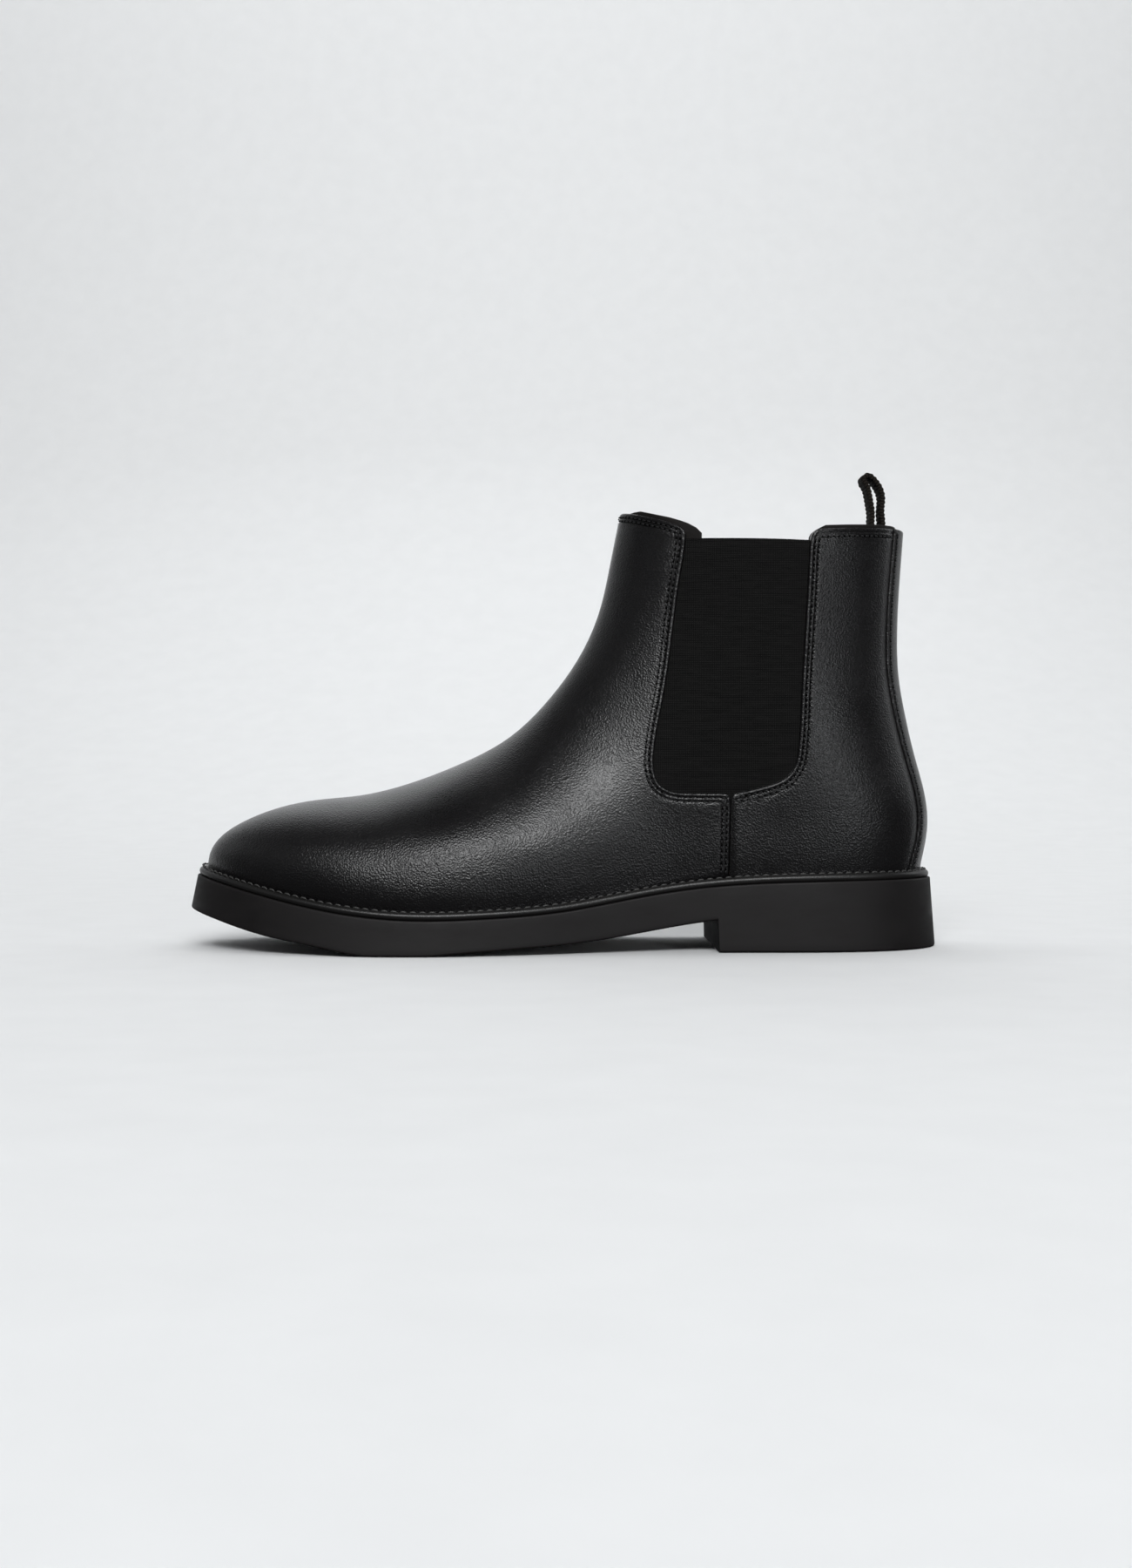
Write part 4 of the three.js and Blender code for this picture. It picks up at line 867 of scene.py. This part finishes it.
def ring_mesh(profile, steps=420):
    """Closed ring swept round the whole outline; profile(x) gives a list of (outset, z)."""
    angles = np.linspace(0, math.pi, steps // 2 + 1)
    rings = []
    for side, order in ((LATERAL, angles), (MEDIAL, angles[-2:0:-1])):
        x = outline(order, side)[:, 0]
        rings.append(np.stack([ring_points(order, side, *at) for at in profile(x)], axis=1))
    g = np.concatenate(rings)
    n, m = g.shape[:2]
    faces = []
    for i in range(n):
        a, b = i * m, (i + 1) % n * m
        for j in range(m):
            k = (j + 1) % m
            faces.append([a + j, b + j, b + k, a + k])
    r = run_of(np.vstack([g[:, 0], g[:1, 0]]))[:-1]
    uv = np.stack([np.repeat(r[:, None], m, 1), np.repeat(np.arange(m)[None, :], n, 0)], axis=-1)
    return g.reshape(-1, 3), faces, uv.reshape(-1, 2)


def welt_profile(x):
    """Cross-section of the welt as (outset, z) corners."""
    feather, lip = feather_z(x), lip_z(x)
    top = [(0.2, -2.4), (0.25, -0.55), (0.8, -0.1), (1.6, 0.02), (2.3, -0.08), (2.9, -0.4),
           (3.3, -0.95), (3.42, -1.6), (3.3, -2.2), (3.05, -2.65)]
    return ([(outset, feather + rise) for outset, rise in top]
            + [(2.8, lip + 0.12), (0.3, lip + 0.12)])


def tread(x, y, width_lateral, width_medial):
    """1 inside a tread groove, 0 outside."""
    mask = np.zeros(np.shape(x))
    for at in TREAD_AT:
        mask = np.maximum(mask, np.clip((TREAD_HALF_WIDTH - np.abs(x - at)) / TREAD_EDGE, 0, 1))
    return (mask * np.clip((y + width_lateral - TREAD_MARGIN) / 0.4, 0, 1)
            * np.clip((width_medial - TREAD_MARGIN - y) / 0.4, 0, 1))


def sole_mesh():
    """The outsole as one tube from the toe tip to the heel, with its tread on the underside."""
    xs = np.concatenate([np.arange(-TREAD_END_X, HEEL_X - 0.2, 0.5),
                         [HEEL_X - 0.01, HEEL_X + 0.35],
                         np.arange(HEEL_X + 0.8, TREAD_END_X, 0.5)])
    middle = np.arccos((MIDDLE - xs) / HALF_LENGTH)
    angles = np.concatenate([np.linspace(0.0, middle[0], 40)[:-1], middle,
                             np.linspace(middle[-1], math.pi, 40)[1:]])
    base = MIDDLE - HALF_LENGTH * np.cos(angles)
    lip, slope = lip_z(base), flare(base)
    low = np.where(base > HEEL_X, 0.0, bottom_z(base))
    wall = []
    for drop, inset in ((0, 4.6), (0, 0.9), (0.02, 0.45), (0.14, 0.18), (0.4, 0.03), (0.8, 0)):
        wall.append((SOLE_OUTSET - inset + slope * drop, lip - drop))
    for share in (0.25, 0.5, 0.75, 0.9):
        z = lerp(lip - 0.8, low + 0.9, share)
        wall.append((SOLE_OUTSET + slope * (lip - z), z))
    for up, inset in ((0.9, 0.0), (0.5, 0.06), (0.22, 0.22), (0.05, 0.5), (0.0, 0.9)):
        wall.append((SOLE_OUTSET + slope * (lip - low - up) - inset, low + up))
    lateral, medial = (np.stack([ring_points(angles, side, *at) for at in wall], axis=1)
                       for side in (LATERAL, MEDIAL))
    a, b = lateral[:, -1], medial[:, -1]
    depth = TREAD_DEPTH * np.where(np.abs(base) < TREAD_END_X, 1, 0)
    under = []
    for t in np.concatenate([[0.02, 0.06], np.linspace(0.1, 0.9, 25), [0.94, 0.98]]):
        p = lerp(a, b, t)
        p[:, 2] += depth * tread(p[:, 0], p[:, 1], -a[:, 1], b[:, 1])
        under.append(p)
    grid = np.concatenate([lateral, np.stack(under, axis=1), medial[:, ::-1]], axis=1)
    return grid.reshape(-1, 3), tube_faces(*grid.shape[:2])


def sock_liner():
    """Thin leather sheet over the footbed, dished 0.8 mm along its middle."""
    angles = np.linspace(0.02, math.pi - 0.02, 160)
    x = MIDDLE - HALF_LENGTH * np.cos(angles)
    inset = -lerp(4.9, 6.4, ease((x - 70) / 35))
    t = np.linspace(0, 1, 17)[None, :, None]
    lateral, medial = outline(angles, LATERAL, inset), outline(angles, MEDIAL, inset)
    plan = lerp(lateral[:, None], medial[:, None], t)
    on_heel = ease((plan[..., 0] - 48) / 14)
    dish = 0.8 * (1 - (2 * t[..., 0] - 1) ** 2)
    z = lip_z(plan[..., 0]) + 6.8 + 2.9 * on_heel - dish
    outer = np.concatenate([plan, z[..., None]], axis=-1)
    points, faces = shell(outer, outer - [0, 0, 1.2])
    build("sock_liner_leather", points, faces, LINING, slot="lining_leather",
          replaces=["sock_liner"])


points, faces, uv = ring_mesh(welt_profile)
build("welt_strip", points, faces, WELT, slot="welt_strip", replaces=["welt"], uv=uv)
points, faces = sole_mesh()
build("outsole_rubber", points, faces, RUBBER, slot="sole_rubber", replaces=["outsole"])
sock_liner()


# ---- pull loop

TAPE_HALF_THICKNESS = 1.12
TAPE_STEPS, TAPE_SIDES = 560, 28
TAIL_DEPTH, TAIL_HALF_GAP = 10.5, 1.05
LOOP = [(128.9, 175.1), (129.2, 181.2), (127.6, 185.6), (123.6, 189.4), (121.6, 188.1),
        (123.3, 184.4), (124.2, 180), (125.1, 174.2)]


def power(value, exponent):
    """value to a power, keeping its sign."""
    return np.sign(value) * abs(value) ** exponent


def tape_piece():
    """One tape from the sewn-in rear tail, round the loop and down to the front tail."""
    down = [(float(back_x(z)) - TAIL_DEPTH, z) for z in (158, 150, 143)]
    rear = [(x + TAIL_HALF_GAP, z) for x, z in down[::-1]] + [(128.7, 164.5), (129.3, 169.5)]
    front = [(125.0, 169.5), (126.2, 164.5)] + [(x - TAIL_HALF_GAP, z) for x, z in down]
    line = dense(rear + LOOP + front, per=16)
    runs = np.linspace(0, run_of(line)[-1], TAPE_STEPS)
    line = at_run(line, runs)
    tangent = np.gradient(line, axis=0)
    tangent /= np.linalg.norm(tangent, axis=1, keepdims=True)
    normal = np.stack([tangent[:, 1], -tangent[:, 0]], axis=-1)
    turns = [2 * math.pi * k / TAPE_SIDES for k in range(TAPE_SIDES)]
    across = np.array([TAPE_HALF_WIDTH * power(math.cos(a), 0.28) for a in turns])
    through = np.array([TAPE_HALF_THICKNESS * power(math.sin(a), 0.55) for a in turns])
    wobble = 0.12 * np.sin(runs / 5.3) + 0.08 * np.sin(runs / 2.1 + 1)
    cord = 1 + 0.13 * np.sin(runs[:, None] * 2 * math.pi / 1.7 + through[None, :] * 1.6)
    points = np.zeros((TAPE_STEPS, TAPE_SIDES, 3))
    points[..., 0] = line[:, None, 0] + normal[:, None, 0] * through[None, :] * cord
    points[..., 2] = line[:, None, 1] + normal[:, None, 1] * through[None, :] * cord
    points[..., 1] = across[None, :] + wobble[:, None]
    uv = np.stack([np.repeat(runs[:, None], TAPE_SIDES, 1),
                   np.repeat(across[None, :] + TAPE_HALF_WIDTH, TAPE_STEPS, 0)], axis=-1)
    obj = build("pull_loop_webbing", points.reshape(-1, 3),
                tube_faces(TAPE_STEPS, TAPE_SIDES, caps=True), WEBBING, uv=uv.reshape(-1, 2),
                slot="webbing", replaces=["pull_loop", "pull_loop_tail_1", "pull_loop_tail_2"],
                ride=False)
    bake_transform(obj)


tape_piece()


# ---- stitching

STITCH_PITCH = 2.3
STITCH_SIDES = 7
STITCH_TAPER = np.array([0.35, 0.9, 1, 1, 0.9, 0.35])


def stitch_rows(name, rows, pitch, length, radius, material, lift=0.0, phase=0.0):
    """Small arched rods along rows, each row a pair of polylines: points and normals."""
    rings = len(STITCH_TAPER)
    across = np.linspace(-1, 1, rings)
    arch = radius * ((1 - across ** 4) * 1.1 - 0.75)
    points, faces = [], []
    for line, normals in rows:
        total = run_of(line)[-1]
        count = max(1, int(total / pitch))
        for i in range(count - (phase > 0)):
            runs = (i + 0.5 + phase) * total / count + np.linspace(-length / 2, length / 2, rings)
            p, n = at_run(line, runs), at_run(normals, runs)
            n /= np.linalg.norm(n, axis=1, keepdims=True)
            p = p + n * (lift + arch)[:, None]
            t = np.gradient(p, axis=0)
            t /= np.linalg.norm(t, axis=1, keepdims=True)
            b = np.cross(t, n)
            size = (radius * STITCH_TAPER)[:, None]
            ring = [p + (n * math.cos(a) + b * math.sin(a)) * size
                    for a in np.linspace(0, 2 * math.pi, STITCH_SIDES, endpoint=False)]
            faces += tube_faces(rings, STITCH_SIDES, len(points) * rings * STITCH_SIDES, caps=True)
            points.append(np.stack(ring, axis=1).reshape(-1, 3))
    build(name, np.concatenate(points), faces, material)


def offset_line(line, distance):
    """Side view line moved sideways; positive is to the left of its direction."""
    t = np.gradient(line, axis=0)
    t /= np.linalg.norm(t, axis=1, keepdims=True)
    return line + np.stack([-t[:, 1], t[:, 0]], axis=-1) * distance


def cut_run(line, start, end):
    """Part of a polyline between two runs, in half millimetre steps."""
    return at_run(line, np.arange(start, end, 0.5))


def upper_lines(side):
    """Side view lines of every stitched row on one side of the upper."""
    lines = []
    for at in GUSSET_ROWS:
        line = offset_line(cut_run(VAMP_EDGE, VAMP_AT[3] + 0.3, VAMP_AT[-1]), at)
        line = np.vstack([line, [[front_x(COLLAR_RUN), front_z(COLLAR_RUN) - at * 1.05]]])
        lines.append(line[width_squared(line[:, 0], line[:, 1], np.full(len(line), side)) > 0])
    near, far = GUSSET_ROWS
    lines.append(offset_line(cut_run(QUARTER_EDGE, QUARTER_AT[3] + 0.4, QUARTER_AT[13]), -near))
    line = offset_line(cut_run(QUARTER_EDGE, QUARTER_AT[3] + 0.4, QUARTER_AT[-1]), -far)
    line = np.vstack([line, COLLAR_BACK_LINE[2:] - [0, far]])
    y = np.sqrt(np.maximum(0, width_squared(line[:, 0], line[:, 1], np.full(len(line), side))))
    lines.append(line[y > backstay_half(line[:, 1]) + 0.5])
    for at in (1.2, 3.0):
        z = np.linspace(float(feather_z(SEAM_X)) + 0.8, GUSSET_Z - 4.2, 60)
        x = SEAM_X - at + np.interp(z, [26, 46, 58], [-0.6, -0.2, 0])
        lines.append(np.stack([x, z], axis=-1))
    z = np.linspace(float(feather_z(140)) + 0.6, COLLAR_BACK_Z - 1.2, 200)
    x = x_at_half_width(z, np.full(len(z), side), backstay_half(z) - STRIP_ROW)
    lines.append(np.stack([x, z], axis=-1))
    return lines


def welt_row(side, count=500):
    p = outline(np.linspace(0, math.pi, count), side, 2.0 * np.ones(count))
    line = np.stack([p[:, 0], p[:, 1], feather_z(p[:, 0]) + 0.02], axis=-1)
    return line, np.tile([0.0, 0.0, 1.0], (count, 1))


rows = [surface(line[:, 0], line[:, 1], side)
        for side in (LATERAL, MEDIAL) for line in upper_lines(side)]
stitch_rows("upper_stitches", rows, STITCH_PITCH, 1.55, 0.34, THREAD, 0.10)
# Near-black rods between the stitches, sunk slightly into the leather: painted shade in the needle
# holes, not real parts.
stitch_rows("upper_stitch_hole_shade", rows, STITCH_PITCH, 0.75, 0.40, HOLE_SHADE, -0.02, phase=0.5)
stitch_rows("welt_stitches", [welt_row(LATERAL), welt_row(MEDIAL)], 3.6, 2.9, 0.42, WELT_THREAD)


# ---- stage, light and camera

STAGE_HALF = 4.0
STAGE_TOP = 4.5
PAPER_Z = -0.0002
PAPER_SPLIT_Y, SIDE_WALL_Y = 0.12, 2.2
SWEEP_FROM_Y, SWEEP_RADIUS, SWEEP_STEPS = 0.9, 1.2, 16
WALL_GLOW = 0.55
DAYLIGHT = (0.985, 0.992, 1.0)
COOL = (0.96, 0.98, 1.0)
COOLER = (0.95, 0.975, 1.0)


def paper_material():
    k = Nodes("studio_paper")
    n = k.noise(k.mapped(), 40, 3, 0.5)
    return k.finish(k.ramp(n, (0.3, (0.80, 0.81, 0.815)), (0.7, (0.82, 0.83, 0.835))), 0.9,
                    k.bump(n, 0.02, 0.0005), Specular_IOR_Level=0.2)


def wall_material():
    wall = plain_material("studio_wall", (0.78, 0.79, 0.80), (0.80, 0.81, 0.82), 3, 0.9, bump=0.02)
    bsdf = wall.node_tree.nodes["Principled BSDF"]
    bsdf.inputs["Emission Color"].default_value = (0.97, 0.99, 1.0, 1)
    bsdf.inputs["Emission Strength"].default_value = WALL_GLOW
    return wall


def stage_mesh(name, points, faces, material, lit=False, smooth=True):
    """Piece of the studio; unless lit, it neither shows in reflections nor bounces light."""
    mesh = bpy.data.meshes.new(name)
    mesh.from_pydata(points, [], faces)
    mesh.polygons.foreach_set("use_smooth", [smooth] * len(mesh.polygons))
    mesh.materials.append(material)
    obj = bpy.data.objects.new(name, mesh)
    bpy.context.scene.collection.objects.link(obj)
    obj.visible_glossy = obj.visible_diffuse = lit


def stage_sheet(name, line, material, lit=False):
    """Wide sheet through the (y, z) points of line."""
    points = [(x, y, z) for y, z in line for x in (-STAGE_HALF, STAGE_HALF)]
    faces = [[2 * i, 2 * i + 1, 2 * i + 3, 2 * i + 2] for i in range(len(line) - 1)]
    stage_mesh(name, points, faces, material, lit)


def backdrop():
    """Pale seamless paper in two parts, and walls that other views see round it."""
    paper, wall = paper_material(), wall_material()
    back_y = SWEEP_FROM_Y + SWEEP_RADIUS
    sweep = [(PAPER_SPLIT_Y, PAPER_Z), (SWEEP_FROM_Y, PAPER_Z)]
    for i in range(1, SWEEP_STEPS + 1):
        a = math.pi / 2 * i / SWEEP_STEPS
        sweep.append((SWEEP_FROM_Y + SWEEP_RADIUS * math.sin(a),
                      SWEEP_RADIUS - SWEEP_RADIUS * math.cos(a) + PAPER_Z))
    sweep.append((back_y, STAGE_TOP))
    stage_sheet("paper_front", [(-STAGE_HALF, PAPER_Z), (PAPER_SPLIT_Y, PAPER_Z)], paper)
    stage_sheet("paper_back", sweep, paper, lit=True)
    stage_sheet("wall_front", [(-STAGE_HALF, PAPER_Z), (-STAGE_HALF, STAGE_TOP)], wall)
    for name, x in (("wall_left", -STAGE_HALF), ("wall_right", STAGE_HALF)):
        corners = [(x, y, z) for y, z in ((-STAGE_HALF, 0), (SIDE_WALL_Y, 0),
                                          (SIDE_WALL_Y, STAGE_TOP), (-STAGE_HALF, STAGE_TOP))]
        stage_mesh(name, corners, [[0, 1, 2, 3]], wall, smooth=False)


def area(name, place, aim, size, power, color=(1, 1, 1), glossy=True):
    data = bpy.data.lights.new(name, "AREA")
    data.shape = "RECTANGLE"
    data.size, data.size_y = size
    data.energy = power
    data.color = color
    obj = bpy.data.objects.new(name, data)
    obj.location = place
    obj.rotation_euler = (Vector(aim) - Vector(place)).to_track_quat("-Z", "Y").to_euler()
    obj.visible_glossy = glossy
    obj.visible_camera = False
    bpy.context.scene.collection.objects.link(obj)


backdrop()
area("key_front", (0.02, -2.25, 1.72), (0.0, 0, 0.07), (1.8, 0.95), 61, DAYLIGHT)
area("left_strip", (-1.25, -0.78, 0.62), (0, 0, 0.1), (0.45, 0.6), 0.28, COOLER)
area("right_strip", (0.75, -1.1, 0.22), (0.08, 0, 0.08), (0.28, 0.30), 1.6, COOLER)
area("heel_soft", (1.5, 0.45, 0.75), (0.1, 0, 0.08), (0.8, 0.8), 2.6, COOL)
area("toe_soft", (-1.5, 0.45, 0.75), (-0.1, 0, 0.05), (0.8, 0.8), 0.7, COOL)
area("medial_soft", (-0.1, 1.5, 1.15), (0, 0, 0.07), (1.3, 0.7), 2.2, COOL)
area("floor_fill", (0, 0.8, 2.2), (0, 0.7, 0), (3.2, 1.8), 5, (0.985, 0.995, 1.0), glossy=False)
area("backdrop_wash", (0, 0.5, 2.3), (0, 2.2, 0.7), (3.2, 1.2), 29, glossy=False)

world = bpy.data.worlds.new("studio")
bpy.context.scene.world = world
world.use_nodes = True
background = world.node_tree.nodes["Background"]
background.inputs["Color"].default_value = (0.93, 0.96, 1.0, 1)
background.inputs["Strength"].default_value = 0.06

cam = bpy.data.cameras.new("camera")
cam.sensor_fit = "VERTICAL"
cam.sensor_height = 36
cam.lens = 41.22
camera = bpy.data.objects.new("camera", cam)
camera.location = (0.00117, -0.72624, 0.0648)
camera.rotation_euler = (math.pi / 2, 0, 0)
bpy.context.scene.collection.objects.link(camera)
bpy.context.scene.camera = camera
bpy.context.scene.view_settings.view_transform = "Standard"
